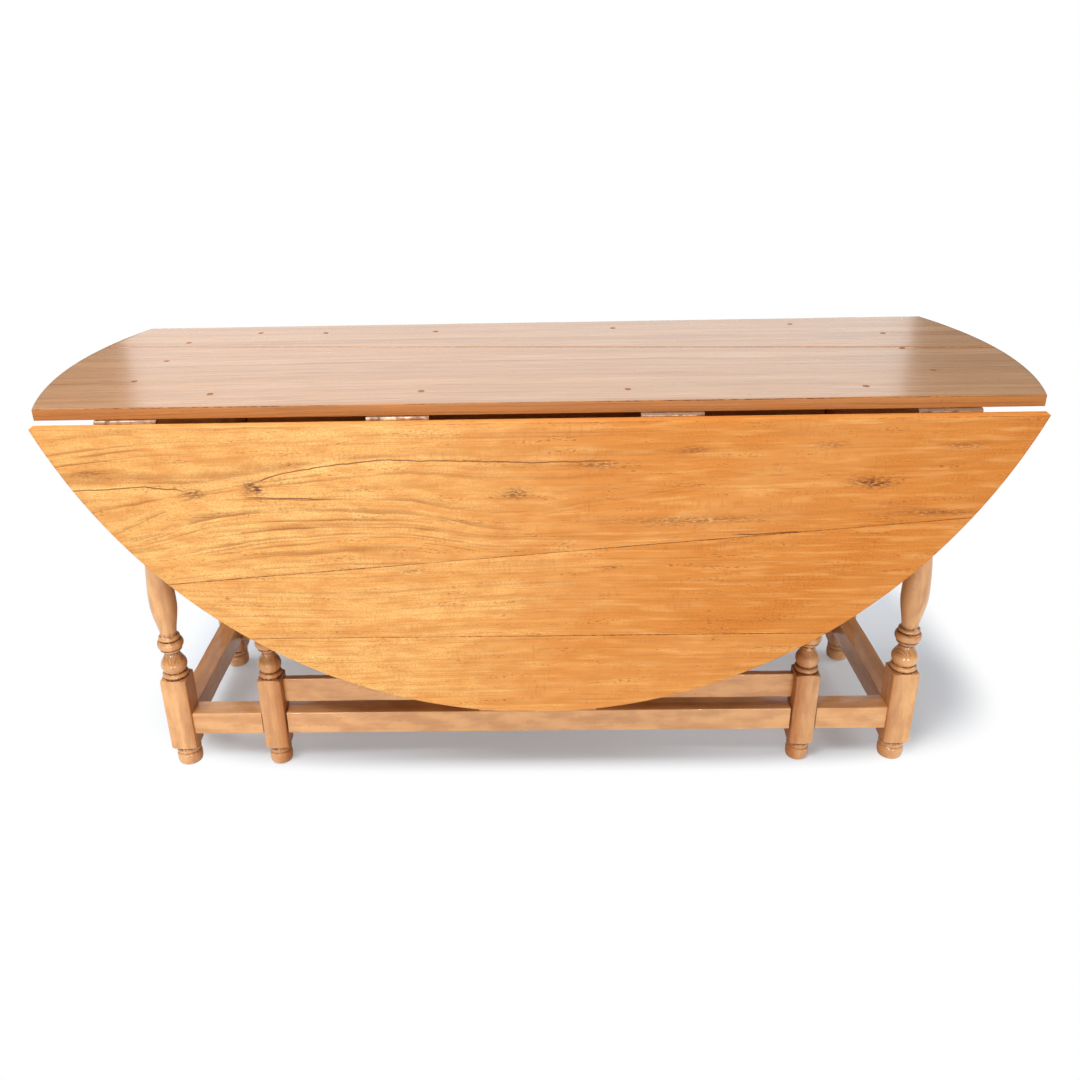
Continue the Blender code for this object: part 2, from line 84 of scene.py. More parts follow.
# Where the top and its leaves are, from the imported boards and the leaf's hinge
RADIUS = (CAD_BOX[1].x - CAD_BOX[0].x) / 2
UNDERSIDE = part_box("centre_back_board")[0].z
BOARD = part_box("centre_back_board")[1].z - UNDERSIDE
CENTRE_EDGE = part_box("centre_back_board")[1].y
HINGE_LINE, HINGE_HEIGHT = JOINTS["back_leaf_hinge"]["pos_m"][1:]
HANG = math.radians(JOINTS["back_leaf_hinge"]["range_deg"][1] - 90)
LEAF_EDGE = 2 * HINGE_LINE - CENTRE_EDGE
EDGE_REACH = 1.0 * MM

# Board joints: each is a line across the table, with its distance from the middle and its slant
CENTRE_SEAM = (71.0 * MM, -0.063)
LEAF_INNER_SEAM = (LEAF_EDGE + 235.0 * MM, 0.082)
LEAF_OUTER_SEAM = (RADIUS - 167.5 * MM, 0.0)
JOINT_WEAR = 0.8

# Heights of the members of a turned leg
FOOT_TOP = 41.0 * MM
LOWER_BLOCK_TOP = 197.0 * MM
UPPER_BLOCK_LOW = 565.0 * MM
BUN_TOP = 26.0 * MM
SCRIBE = 2.5 * MM
BASE_RING = 11.5 * MM
SHOULDER = 5.0 * MM

# Halvings, tenons and pivots of the frame and the gates
STRETCHER = (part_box("front_stretcher")[0].z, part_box("front_stretcher")[1].z)
APRON = (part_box("front_apron")[0].z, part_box("front_apron")[1].z)
NOTCH_PLAY = 1.5 * MM
NOTCH_SIDE = 2.5 * MM
HALVING = 2.75 * MM
HALVING_FLOOR = -1.4 * MM
TENON = (12.0 * MM, 6.0 * MM)
GATE_TENON = 7.0 * MM
PIVOT = 9.0 * MM
PIVOT_LENGTH = 25.0 * MM
PIVOT_EASE = 1.0 * MM

# Hinges
KNUCKLES = 5
KNUCKLE = 4.5 * MM
PLATE = 2.2 * MM
PLATE_WIDTH = 38.0 * MM
PIN = 2.2 * MM
IRON_EASE = 0.5 * MM
KNUCKLE_GAP = 0.4 * MM
KNUCKLE_RELIEF = 0.6 * MM


def linear(code):
    """An sRGB hex colour as linear red, green, blue and alpha."""
    parts = [int(code[i : i + 2], 16) / 255 for i in (1, 3, 5)]
    return (*(p / 12.92 if p <= 0.04045 else ((p + 0.055) / 1.055) ** 2.4 for p in parts), 1.0)


def length(name, default, description):
    """A length that a user can change."""
    return bpy.props.FloatProperty(
        name=name, default=default, description=description,
        unit="LENGTH", subtype="DISTANCE", precision=4,
    )


def colour(name, code, description):
    """A colour that a user can change, from its sRGB hex value."""
    return bpy.props.FloatVectorProperty(
        name=name, default=linear(code), description=description,
        subtype="COLOR", size=4, min=0.0, max=1.0,
    )


class GatelegSizes(bpy.types.PropertyGroup):
    """Sizes of the wear and of the small parts."""

    rim_round: length("Rim rounding", 1.5 * MM, "How far the rim and open edges are worn round")
    seam_round: length("Joint rounding", 0.9 * MM, "How far boards are worn at a glued joint")
    centre_round: length("Middle joint", 1.45 * MM, "How far the top's middle joint is worn")
    hinge_round: length("Hinge edge", 2.0 * MM, "Rounding of the leaf edge that meets the top")
    back_round: length("Back rounding", 1.0 * MM, "How far the lower edges are worn round")
    waver: length("Surface waver", 0.30 * MM, "How far the boards are out of flat")
    arris: length("Arris rounding", 2.0 * MM, "Rounding of the edges of legs and rails")
    grid: length("Board grid", 6.5 * MM, "Spacing of the points on a board")
    plug: length("Plug width", 11.0 * MM, "Width of the plugs over the screws of the top")
    screw: length("Screw head", 8.0 * MM, "Width of the screw heads in the hinges")


class GatelegColours(bpy.types.PropertyGroup):
    """Colours of the wood, the iron and the studio."""

    honey_pale: colour("Honey pale", "#FFD082", "Early wood of the leaves")
    honey_deep: colour("Honey deep", "#DA8A36", "Late wood of the leaves")
    honey_red: colour("Honey red", "#C26A1C", "Warm patches of the leaves")
    top_pale: colour("Top pale", "#C69E78", "Early wood of the worn top")
    top_deep: colour("Top deep", "#A27650", "Late wood of the worn top")
    top_red: colour("Top red", "#BE701C", "Warm patches of the worn top")
    frame_pale: colour("Frame pale", "#F4BB7D", "Early wood of the legs and rails")
    frame_deep: colour("Frame deep", "#D69352", "Late wood of the legs and rails")
    # On the legs this colour also lays painted shade on the inner sides and on the gate legs
    frame_red: colour("Frame red", "#98501F", "Warm patches of the legs and rails")
    top_line: colour("Top line", "#6E4020", "Thin dark lines of the worn top")
    late_line: colour("Late line", "#96521A", "Thin dark lines of late wood, ticks and pores")
    # On the legs this colour also lays painted shade in the hollows
    knot: colour("Knot", "#66331A", "Knots, cracks and plugs")
    iron: colour("Iron", "#B8967C", "Tarnished iron of the hinges")
    rust: colour("Rust", "#7E583C", "Brown tarnish on the iron")
    floor: colour("Floor", "#E1E8F0", "Studio floor")


def quads(index):
    """Faces between the neighbouring rows and columns of an array of point numbers."""
    corners = (index[:-1, :-1], index[:-1, 1:], index[1:, 1:], index[1:, :-1])
    return np.stack(corners, -1).reshape(-1, 4)


def wrapped(index):
    """The same array with its first column repeated at the end, which closes a tube."""
    return np.concatenate([index, index[:, :1]], 1)


def border(grid):
    """The outermost values of a grid, once round."""
    return np.concatenate([grid[0, :-1], grid[:-1, -1], grid[-1, :0:-1], grid[:0:-1, 0]])


def tube(rings):
    """Points and faces of a closed skin through rings of points, with a flat face at each end."""
    index = np.arange(rings.shape[0] * rings.shape[1]).reshape(rings.shape[:2])
    faces = quads(wrapped(index)).tolist() + [index[0, ::-1].tolist(), index[-1].tolist()]
    return rings.reshape(-1, 3), faces


def gathered(parts):
    """Several closed skins as one mesh."""
    points, faces, start = [], [], 0
    for part, part_faces in parts:
        points.append(part)
        faces += [[start + i for i in face] for face in part_faces]
        start += len(part)
    return np.concatenate(points), faces


def waves(values, seed, terms=4):
    """A smooth wander between about -1 and 1: sines with drawn phases and rising rates, summed."""
    draw = np.random.default_rng(seed)
    rates = draw.uniform(0.7, 1.3, terms) * 2.0 ** np.arange(terms)
    phases = draw.uniform(0, 2 * math.pi, terms)
    draws = enumerate(zip(rates, phases), 1)
    return sum(np.sin(values * rate + phase) / i for i, (rate, phase) in draws) / 1.6


def moved(points, turn=0.0, shift=(0.0, 0.0, 0.0)):
    """Points turned about the vertical and then shifted."""
    c, s = math.cos(turn), math.sin(turn)
    return points @ np.array([[c, s, 0], [-s, c, 0], [0, 0, 1]]) + np.array(shift)


def add_piece(node, points, faces, kind, sharp=40.0, name=None, **attributes):
    """Makes a piece: mesh, attributes, finish, and the CAD node whose body it rides.

    Without a name of its own it also stands for that node.
    """
    name = name or f"worn_{node}"
    mesh = bpy.data.meshes.new(name)
    mesh.from_pydata(points.tolist(), [], faces)
    for key, values in attributes.items():
        layer = mesh.attributes.new(key, "FLOAT_VECTOR", "POINT")
        layer.data.foreach_set("vector", np.ascontiguousarray(values, np.float32).ravel())
    merged = bmesh.new()
    merged.from_mesh(mesh)
    bmesh.ops.remove_doubles(merged, verts=merged.verts, dist=SAME_PLACE)
    merged.to_mesh(mesh)
    merged.free()
    mesh.shade_smooth()
    mesh.set_sharp_from_angle(angle=math.radians(sharp))
    mesh.materials.append(finish(kind))
    piece = bpy.data.objects.new(name, mesh)
    bpy.context.scene.collection.objects.link(piece)
    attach(piece, BODY_OF[node])
    if name == f"worn_{node}":
        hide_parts(node)


def pith_grain(points, axis, pith, seed):
    """Grain of a stick: distance along it, distance from the heart of the tree, and one way across.

    The rings are circles round a heart line beside the stick, which wanders slowly along it.
    """
    along = points[:, axis]
    first, second = [points[:, i] for i in range(3) if i != axis]
    wander = 4 * MM * waves(along * 6, seed)
    ring = np.hypot(first - pith[0] + wander, second - pith[1])
    return np.stack([along, ring, first + 0.7 * second], 1) + seed * 0.37


def plain_tone(points, warm, stain=0.0):
    """Tone of a stick: how warm it is, how stained and an even figure. On the legs the warmth also holds painted
    shade, and the stain painted shade in the hollows.
    """
    tone = np.zeros((len(points), 3))
    tone[:, 0], tone[:, 1], tone[:, 2] = warm, stain, 0.5
    return tone


def hollow_shade_and_dirt(points, reach=7 * MM, least=1 * MM, full=5 * MM):
    """Painted shade in the hollows of a turned leg, with some wax and dirt.

    It grows with how far each ring lies inside the widest ring near it.
    """
    radius = np.hypot(points[:, 0], points[:, 1])
    rings, which = np.unique(points[:, 2].round(6), return_inverse=True)
    width = np.array([np.median(radius[which == number]) for number in range(len(rings))])
    near = np.abs(rings[:, None] - rings) < reach
    widest = np.where(near, width, 0).max(1)
    return np.clip((widest - width - least) / full, 0, 1)[which]


def chord_ends(offset, slope, radius):
    """Where the line y = offset + slope x leaves a circle about the middle, left and right."""
    lean = 1 + slope**2
    root = np.sqrt(np.maximum(radius**2 * lean - offset**2, 0))
    return (-offset * slope - root) / lean, (-offset * slope + root) / lean


def board_plan(near, far, across, along, inset, rim_round):
    """Plan of a board: a line slides from near edge to far edge, and the round rim cuts its ends.

    near and far are (offset, slant, rounding). inset, from 0 to 1, draws the edges in by their
    rounding.
    """
    low = near[0] + near[2] * inset
    high = far[0] - far[2] * inset
    offset = low + (high - low) * across
    slope = near[1] + (far[1] - near[1]) * across
    left, right = chord_ends(offset, slope, RADIUS - rim_round * inset)
    x = left + (right - left) * along
    return x, offset + slope * x


def board_skin(near, far, spacing, columns, sizes, seed):
    """A board as one closed skin: a face grid, rounded edges and a back grid.

    The rings of the edge go from 0 on the face to 90 degrees on the side: inset 1 - sin, drop
    1 - cos; at the back the same with a smaller rounding. The face wavers by a sum of sines, and
    the rounding grows and shrinks along the edge with the wear. Also gives each point's share of
    open edge or back, of glued joint and of arris.
    """
    along, across = np.meshgrid(np.linspace(0, 1, columns), spacing)
    back_share = sizes.back_round / sizes.rim_round

    def spot(s, t, inset, height):
        wear = 1 + 0.30 * waves(s * 23 + t * 9, seed)
        x, y = board_plan(near, far, t, s, inset * wear, sizes.rim_round)
        return np.stack([x, y, np.full_like(x, height)], -1)

    face = spot(along, across, 1.0, BOARD).reshape(-1, 3)
    back = spot(along, across, back_share, 0.0).reshape(-1, 3)
    edge_s, edge_t = border(along), border(across)
    turns = [(1 - math.sin(a), 1 - math.cos(a)) for a in np.radians((30, 60, 90))]
    levels = [(inset, BOARD - sizes.rim_round * drop) for inset, drop in turns]
    levels += [(back_share * inset, sizes.back_round * drop) for inset, drop in turns[::-1]]
    rings = [spot(edge_s, edge_t, inset, height) for inset, height in levels]
    swell = sizes.waver * waves(face[:, 0] * 5, seed + 1) * np.cos(face[:, 1] * 11 + seed)
    calm = np.minimum(1, 12 * np.minimum(across * (1 - across), along * (1 - along) * 6)).ravel()
    face[:, 2] -= np.abs(swell) * calm
    points = np.concatenate([face, *rings, back])
    index = np.arange(len(face)).reshape(along.shape)
    loop = border(index)
    back_start = len(points) - len(back)
    middle_loops = np.arange(len(face), back_start).reshape(len(rings), -1)
    band = wrapped(np.stack([loop, *middle_loops, back_start + loop])[::-1])
    faces = np.concatenate([quads(index), quads(band), quads(index + back_start)[:, ::-1]])

    # A glued joint is rounded less than any open edge, and its wear stops short of the rim
    joint = 1.01 * max(sizes.seam_round, sizes.centre_round)
    glued = ((edge_t == 0) & (near[2] < joint)) | ((edge_t == 1) & (far[2] < joint))
    glued &= (edge_s > 0) & (edge_s < 1)
    shares = np.zeros((len(points), 3))
    shares[len(face) : back_start, 0] = np.tile(~glued, len(rings))
    shares[len(face) : back_start, 1] = np.tile(glued, len(rings))
    shares[len(face) : len(face) + 2 * len(loop), 2] = np.tile(~glued, 2)
    shares[loop[glued], 0] = JOINT_WEAR
    shares[back_start:, 0] = 1.0
    return points, faces.tolist(), shares


def spots(x, depth, marks):
    """Sum of soft ellipses: strength times exp(-((x - x0) / a)^2 - ((depth - d0) / b)^2)."""
    x0, d0, a, b, strength = np.array(marks).reshape(-1, 5).T[:, None, :]
    along, across = (x[:, None] - x0) / a, (depth[:, None] - d0) / b
    return (strength * np.exp(-(along**2) - across**2)).sum(1)


def grown(x, depth, lines):
    """Ring coordinate of a flat-sawn board, between lines of the figure that each keep one ring.

    A line is a ring and its places along the board. Each line is smoothed by a running mean of
    five, and between two lines the ring rises straight with the depth; beyond the first and the
    last at its own rate.
    """
    shifts = np.linspace(-0.03, 0.03, 5)
    rings = np.array([ring for ring, places in lines])
    depths = np.stack([
        np.mean([np.interp(x + shift, *np.array(places).T) for shift in shifts], 0)
        for ring, places in lines
    ])
    depths = np.maximum.accumulate(depths, 0) + 0.1 * MM * np.arange(len(lines))[:, None]
    slot = np.clip((depth > depths).sum(0) - 1, 0, len(lines) - 2)
    here = np.arange(len(x))
    low, high = depths[slot, here], depths[slot + 1, here]
    share = (depth - low) / (high - low)
    return rings[slot] + (rings[slot + 1] - rings[slot]) * share


# Figure of each board, in metres from the middle of the table and from the hinge line: lines of
# one ring, stains (place, reach, strength), cracks, where the lines are bold, the warmth and how
# it drifts to the right, and how far open edges are warm and joints and arrises are stained
LEAF_EDGES = {"edge": 0.4, "joint": 0.9, "arris": 0.5}
FRONT_LEAF = {
    "lines": (
        (0.000, ((-0.80, -0.010), (0.80, -0.010))),
        (0.016, ((-0.78, 0.037), (-0.68, 0.025), (-0.59, 0.020), (-0.31, 0.016), (0.17, 0.015),
                 (0.72, 0.007))),
        (0.034, ((-0.77, 0.057), (-0.65, 0.040), (-0.54, 0.035), (-0.31, 0.030), (0.17, 0.027),
                 (0.72, 0.015))),
        (0.050, ((-0.74, 0.079), (-0.61, 0.067), (-0.44, 0.057), (-0.33, 0.047), (-0.02, 0.046),
                 (0.73, 0.037))),
        (0.066, ((-0.77, 0.108), (-0.62, 0.106), (-0.55, 0.115), (-0.50, 0.099), (-0.45, 0.093),
                 (-0.39, 0.079), (-0.30, 0.065), (-0.20, 0.061), (0.00, 0.069), (0.14, 0.067),
                 (0.73, 0.054))),
        (0.090, ((-0.75, 0.218), (-0.66, 0.168), (-0.58, 0.136), (-0.54, 0.128), (-0.41, 0.129),
                 (-0.32, 0.132), (-0.21, 0.141), (-0.15, 0.157), (-0.03, 0.168), (0.10, 0.144),
                 (0.27, 0.119), (0.74, 0.094))),
        (0.105, ((-0.70, 0.209), (-0.56, 0.161), (-0.46, 0.146), (-0.34, 0.147), (-0.17, 0.160),
                 (-0.07, 0.186), (0.00, 0.189), (0.12, 0.176), (0.34, 0.177), (0.55, 0.174),
                 (0.72, 0.164))),
        (0.130, ((-0.67, 0.218), (-0.54, 0.183), (-0.40, 0.172), (-0.29, 0.175), (-0.21, 0.177),
                 (-0.07, 0.201), (0.17, 0.204), (0.53, 0.189), (0.68, 0.182))),
        (0.156, ((-0.64, 0.239), (-0.48, 0.210), (-0.33, 0.197), (-0.21, 0.201), (-0.08, 0.227),
                 (0.60, 0.227))),
        (0.215, ((-0.68, 0.302), (-0.49, 0.281), (-0.34, 0.273), (0.17, 0.284), (0.61, 0.276))),
    ),
    "stains": (
        (-0.461, 0.104, 0.012, 0.008, 1.2),
        (-0.450, 0.112, 0.011, 0.006, 1.0),
        (-0.470, 0.118, 0.006, 0.004, 0.6),
        (-0.556, 0.117, 0.018, 0.006, 1.2),
        (0.537, 0.111, 0.034, 0.008, 0.95),
        (0.552, 0.116, 0.018, 0.006, 0.5),
        (-0.033, 0.123, 0.020, 0.009, 0.9),
        (-0.720, 0.079, 0.030, 0.004, 0.7),
        (-0.700, 0.055, 0.030, 0.003, 0.35),
        (0.680, 0.050, 0.030, 0.006, 0.6),
        (0.250, 0.176, 0.110, 0.006, 0.75),
        (0.650, 0.167, 0.060, 0.005, 0.80),
        (0.253, 0.050, 0.022, 0.005, 0.80),
        (0.100, 0.074, 0.040, 0.005, 0.75),
        (0.465, 0.045, 0.030, 0.004, 0.65),
    ),
    "cracks": (
        ((-0.463, 0.100), (-0.416, 0.084), (-0.348, 0.071), (-0.253, 0.061), (-0.128, 0.064),
         (0.000, 0.069), (0.135, 0.067)),
        ((-0.480, 0.124), (-0.400, 0.127), (-0.320, 0.130)),
        ((-0.800, 0.108), (-0.698, 0.107), (-0.645, 0.103), (-0.585, 0.108), (-0.549, 0.117)),
        ((-0.585, 0.131), (-0.562, 0.126), (-0.549, 0.118)),
        ((0.320, 0.205), (0.400, 0.202), (0.470, 0.199)),
    ),
    "bold": (
        (-0.38, 0.17, 0.36, 0.09, 1.0),
        (-0.72, 0.06, 0.16, 0.06, 0.7),
        (-0.15, 0.03, 0.30, 0.03, 0.3),
    ),
    "warm": (0.53, 0.46),
    **LEAF_EDGES,
}
BACK_LEAF = {
    "lines": (
        (0.000, ((-0.80, -0.010), (0.80, -0.010))),
        (0.050, ((-0.70, 0.064), (-0.20, 0.049), (0.20, 0.094), (0.50, 0.054))),
        (0.085, ((-0.70, 0.128), (-0.20, 0.158), (0.20, 0.123), (0.50, 0.158))),
        (0.215, ((-0.70, 0.232), (0.70, 0.272))),
    ),
    "stains": ((0.210, 0.128, 0.012, 0.007, 1.0), (-0.520, 0.070, 0.020, 0.006, 0.7)),
    "cracks": (
        ((0.215, 0.122), (0.300, 0.140), (0.480, 0.152)),
        ((-0.620, 0.070), (-0.310, 0.064)),
    ),
    "bold": ((0.30, 0.17, 0.40, 0.10, 1.0), (-0.45, 0.05, 0.20, 0.05, 0.7)),
    "warm": (0.53, 0.40),
    **LEAF_EDGES,
}
QUIET_BOARD = {
    "lines": (
        (0.15, ((-0.80, 0.165), (-0.30, 0.150), (0.10, 0.160), (0.80, 0.150))),
        (0.30, ((-0.80, 0.294), (-0.30, 0.314), (0.10, 0.294), (0.80, 0.304))),
        (0.60, ((-0.80, 0.608), (0.80, 0.608))),
    ),
    "stains": (
        (-0.215, 0.266, 0.030, 0.004, 0.70),
        (0.130, 0.262, 0.010, 0.003, 0.5),
        (-0.470, 0.270, 0.012, 0.004, 0.4),
        (0.340, 0.300, 0.008, 0.003, 0.5),
    ),
    "cracks": (),
    "bold": ((-0.45, 0.25, 0.45, 0.25, 0.30),),
    "warm": (0.53, 0.46),
    **LEAF_EDGES,
}
TOP_BOARD = {
    "lines": (
        (0.0, ((-0.80, 0.000), (-0.20, 0.012), (0.80, 0.000))),
        (0.5, ((-0.80, 0.504), (0.80, 0.494))),
    ),
    "stains": (),
    "cracks": (),
    "bold": ((0.0, 0.0, 0.9, 0.5, 0.5),),
    "warm": (0.08, -0.06),
    "edge": 1.0,
    "joint": 3.0,
    "arris": 1.6,
}


def board_figure(x, depth, height, shares, figure, seed):
    """Grain, tone and cracks of a board, point by point.

    Grain: distance along, ring coordinate that leans through the thickness, and plain distance
    across. Tone: warm shift, stain and boldness of the lines. Crack: distance from the nearest
    crack and how open it is.
    """
    slow = 3 * MM * waves(x * 3, seed) + 1 * MM * waves(x * 17, seed + 5)
    ring = grown(x, depth, figure["lines"]) + slow
    grain = np.stack([x, ring + 2.0 * height, depth + height], 1) + seed * 0.41
    level, drift = figure["warm"]
    warm = level + drift * np.tanh(5 * x + 0.2)
    warm += 0.30 * level * waves(x * 7 + depth * 9, seed + 2)
    warm = np.maximum(warm, figure["edge"] * shares[:, 0])
    stain = spots(x, depth, figure["stains"])
    stain += figure["joint"] * shares[:, 1] * (1 + 0.6 * waves(x * 9, seed + 3))
    chafed = np.clip(0.6 + waves(x * 8 + depth * 5, seed + 4), 0, 1)
    stain += figure["arris"] * shares[:, 2] * chafed
    tone = np.stack([warm, stain, spots(x, depth, figure["bold"])], 1)
    away, gape = np.full(len(x), 0.05), np.zeros(len(x))
    for line in figure["cracks"]:
        line_x, line_d = np.array(line).T
        gap = depth - np.interp(x, line_x, line_d)
        inside = np.clip((x - line_x[0]) / 0.02, 0, 1) * np.clip((line_x[-1] - x) / 0.04, 0, 1)
        near = (np.abs(gap) < np.abs(away)) & (inside > 0)
        away, gape = np.where(near, gap, away), np.where(near, inside, gape)
    return {"grain": grain, "tone": tone, "crack": np.stack([away, gape, np.zeros(len(x))], 1)}


def hung(points, front):
    """A leaf drawn level behind the table, let down about its hinge line.

    The front one is turned round too.
    """
    out = points[:, 1] - HINGE_LINE
    up = points[:, 2] + UNDERSIDE - HINGE_HEIGHT
    y = HINGE_LINE - out * math.sin(HANG) + up * math.cos(HANG)
    z = HINGE_HEIGHT - out * math.cos(HANG) - up * math.sin(HANG)
    way = -1 if front else 1
    return np.stack([way * points[:, 0], way * y, z], 1)


def half_round(low, high, bulge, steps=9):
    """Heights and radii of a bead or cove: half an ellipse, bulge off the line from low to high."""
    turn = np.linspace(0, math.pi, steps)
    share = (1 - np.cos(turn)) / 2
    line = np.array(low) + np.outer(share, np.subtract(high, low))
    line[:, 1] += bulge * np.sin(turn)
    return line


def eased(low, high, steps, start=0.0, stop=1.0):
    """Heights and radii on a cosine curve from low to high.

    start and stop keep only part of the half wave.
    """
    share = np.linspace(0, 1, steps)
    turn = math.pi * (start + (stop - start) * share)
    ease = (np.cos(turn[0]) - np.cos(turn)) / (np.cos(turn[0]) - np.cos(turn[-1]))
    return np.stack(
        [low[0] + (high[0] - low[0]) * share, low[1] + (high[1] - low[1]) * ease], 1
    )


def leg_profile(half, low, top):
    """Heights and greatest radii of a turned leg, from the floor to the top.

    Bun foot, square block, ring, pear, flange, ring, bead, vase, neck ring, reel, ring and square
    block. In the blocks the radius is free, and near their ends it rolls over a quarter ellipse to
    the turned part.
    """
    free = 1.5 * half

    def at(height, up, cut):
        """A place on the profile, in millimetres above a height and inside the stock's face."""
        return height + up * MM, half - cut * MM

    def shoulder(height, way):
        """The rolled end of a block that lies below its end height, or above it."""
        roll = np.linspace(0, math.pi / 2, 5)
        inner = half - 3.4 * MM
        heights = height - way * SHOULDER * (1 - np.sin(roll))
        line = np.stack([heights, inner + (1.42 * half - inner) * np.cos(roll)], 1)
        return line if way > 0 else line[::-1]

    def block(start, stop, steps):
        """A square block, where the stock's own faces are the limit."""
        return [(z, free) for z in np.linspace(start, stop, steps)]

    ring = LOWER_BLOCK_TOP + BASE_RING
    high_ring = UPPER_BLOCK_LOW - BASE_RING
    parts = [
        [at(low, 0.0, 7.0), at(low, 1.2, 4.6)],
        half_round(at(low, 1.5, 3.4), at(BUN_TOP, 0.0, 2.6), 2.6 * MM),
        [at(BUN_TOP + SCRIBE / 2, 0.0, 3.9)],
        half_round(at(BUN_TOP + SCRIBE, 0.0, 2.0), at(FOOT_TOP - SCRIBE, 0.0, 1.8), 0.9 * MM, 6),
        [at(FOOT_TOP - SCRIBE / 2, 0.0, 3.6)],
        shoulder(FOOT_TOP, -1),
        block(FOOT_TOP + 2 * SHOULDER, LOWER_BLOCK_TOP - 2 * SHOULDER, 7),
        shoulder(LOWER_BLOCK_TOP, 1),
        half_round(at(LOWER_BLOCK_TOP, 0.4, 4.8), at(ring, 0.0, 4.8), 4.6 * MM, 11),
        [at(ring, 0.8, 6.4), at(ring, 1.8, 4.6)],
        eased(at(ring, 2.0, 4.2), at(ring, 15.0, 0.2), 8, 0.5),
        eased(at(ring, 16.5, 0.2), at(ring, 41.0, 10.8), 14, 0.06, 0.94),
        [at(ring, 43.0, 11.0)],
        half_round(at(ring, 44.0, 8.8), at(ring, 50.0, 5.2), 2.2 * MM, 7),
        [at(ring, 51.0, 6.0)],
        half_round(at(ring, 51.8, 5.4), at(ring, 68.5, 5.2), 5.0 * MM, 13),
        [at(ring, 69.3, 7.2)],
        half_round(at(ring, 70.0, 6.6), at(ring, 78.0, 7.6), 2.4 * MM, 8),
        [at(ring, 79.2, 9.8)],
        eased(at(ring, 80.5, 9.6), at(ring, 146.0, 0.2), 18, 0.15),
        eased(at(ring, 149.0, 0.2), at(high_ring, -43.0, 11.3), 26, 0.0, 0.95),
        half_round(at(high_ring, -42.0, 6.4), at(high_ring, -36.0, 6.0), 2.2 * MM, 7),
        half_round(at(high_ring, -34.6, 5.2), at(high_ring, -13.0, 6.8), 3.9 * MM, 12),
        half_round(at(high_ring, -12.0, 6.9), at(high_ring, -0.8, 6.9), -1.6 * MM, 8),
        half_round(at(high_ring, 0.0, 3.2), at(UPPER_BLOCK_LOW, -0.4, 3.2), 2.4 * MM, 9),
        shoulder(UPPER_BLOCK_LOW, -1),
        block(UPPER_BLOCK_LOW + 2 * SHOULDER, top, 8),
    ]
    return np.concatenate([np.asarray(part, float) for part in parts])


def stick_skin(profile, half, arris, notches=(), floor=0.0):
    """A stick turned from square stock as one closed skin, about its own upright axis.

    In each direction the radius is the least of the square's, a p-norm square with rounded
    arrises, and the turned profile's. In a notch the side towards +Y is also cut off by the plane
    y = floor.
    """
    norm = 1.39 * half / arris + 6
    turn = math.pi / 4 * np.sin(math.pi / 2 * np.linspace(-1, 1, 21)[:-1])
    turns = [turn + k * math.pi / 2 for k in range(4)]
    if notches:
        side = math.atan2(floor, half)
        turns.append(np.array([side, math.pi - side]))
    turns = np.sort(np.concatenate(turns))
    cosine, sine = np.cos(turns), np.sin(turns)
    square = half / (np.abs(cosine) ** norm + np.abs(sine) ** norm) ** (1 / norm)
    cut = np.zeros(len(profile), bool)
    for low, high in notches:
        inside = (profile[:, 0] > low) & (profile[:, 0] < high)
        cut = np.concatenate([cut | inside, (False, True, True, False)])
        profile = np.concatenate([profile, [(z, 2 * half) for z in (low, low, high, high)]])
        order = np.argsort(profile[:, 0], kind="stable")
        profile, cut = profile[order], cut[order]
    radius = np.minimum(square, profile[:, 1:2])
    halved = np.where(sine > SAME_PLACE, floor / np.maximum(sine, SAME_PLACE), 1.0)
    radius = np.where(cut[:, None], np.minimum(radius, halved), radius)
    heights = np.repeat(profile[:, :1], len(turns), 1)
    return tube(np.stack([radius * cosine, radius * sine, heights], -1))


def rail_skin(stations, arris, seed, floor=HALVING_FLOOR):
    """A rail along X as one closed skin: rounded rectangles carried along it.

    Each station is (x, half depth, half height, notched). The rounding of the arrises wanders
    along the rail, and where it is notched its front side is cut back to the plane y = floor.
    """
    x, deep, high, notched = np.array(stations, float).T[:, :, None]
    turn = np.radians(np.concatenate([np.linspace(0, 90, 6) + 90 * k for k in range(4)]))[None, :]
    side_y = np.repeat((1, -1, -1, 1), 6)[None, :]
    side_z = np.repeat((1, 1, -1, -1), 6)[None, :]
    rounding = arris * (1 + 0.35 * waves(x * 31, seed)) * np.minimum(1, deep / (8 * MM))
    y = side_y * (deep - rounding) + rounding * np.cos(turn)
    z = side_z * (high - rounding) + rounding * np.sin(turn)
    y = np.where(notched > 0, np.maximum(y, floor), y)
    return tube(np.stack([np.broadcast_to(x, y.shape), y, z], -1))


def rail_stations(reach, deep, high, tenon_deep, notches=()):
    """Stations of a tenoned rail: tongue, shoulder, body with its halvings, shoulder, tongue."""
    tongue = (min(tenon_deep, deep), high - TENON[1], 0)
    beside = 0.1 * MM
    body = [(-reach, deep, high, 0), (reach, deep, high, 0)]
    for start, stop in notches:
        steps = ((start, 0), (start, 1), (stop, 1), (stop, 0))
        body += [(x, deep, high, cut) for x, cut in steps]
    for x in np.linspace(-reach, reach, 40)[1:-1]:
        if not any(start - beside <= x <= stop + beside for start, stop in notches):
            body.append((x, deep, high, 0))
    body.sort(key=lambda station: station[0])
    ends = [(-reach - TENON[0], *tongue), (-reach, *tongue)]
    return ends + body + [(reach, *tongue), (reach + TENON[0], *tongue)]


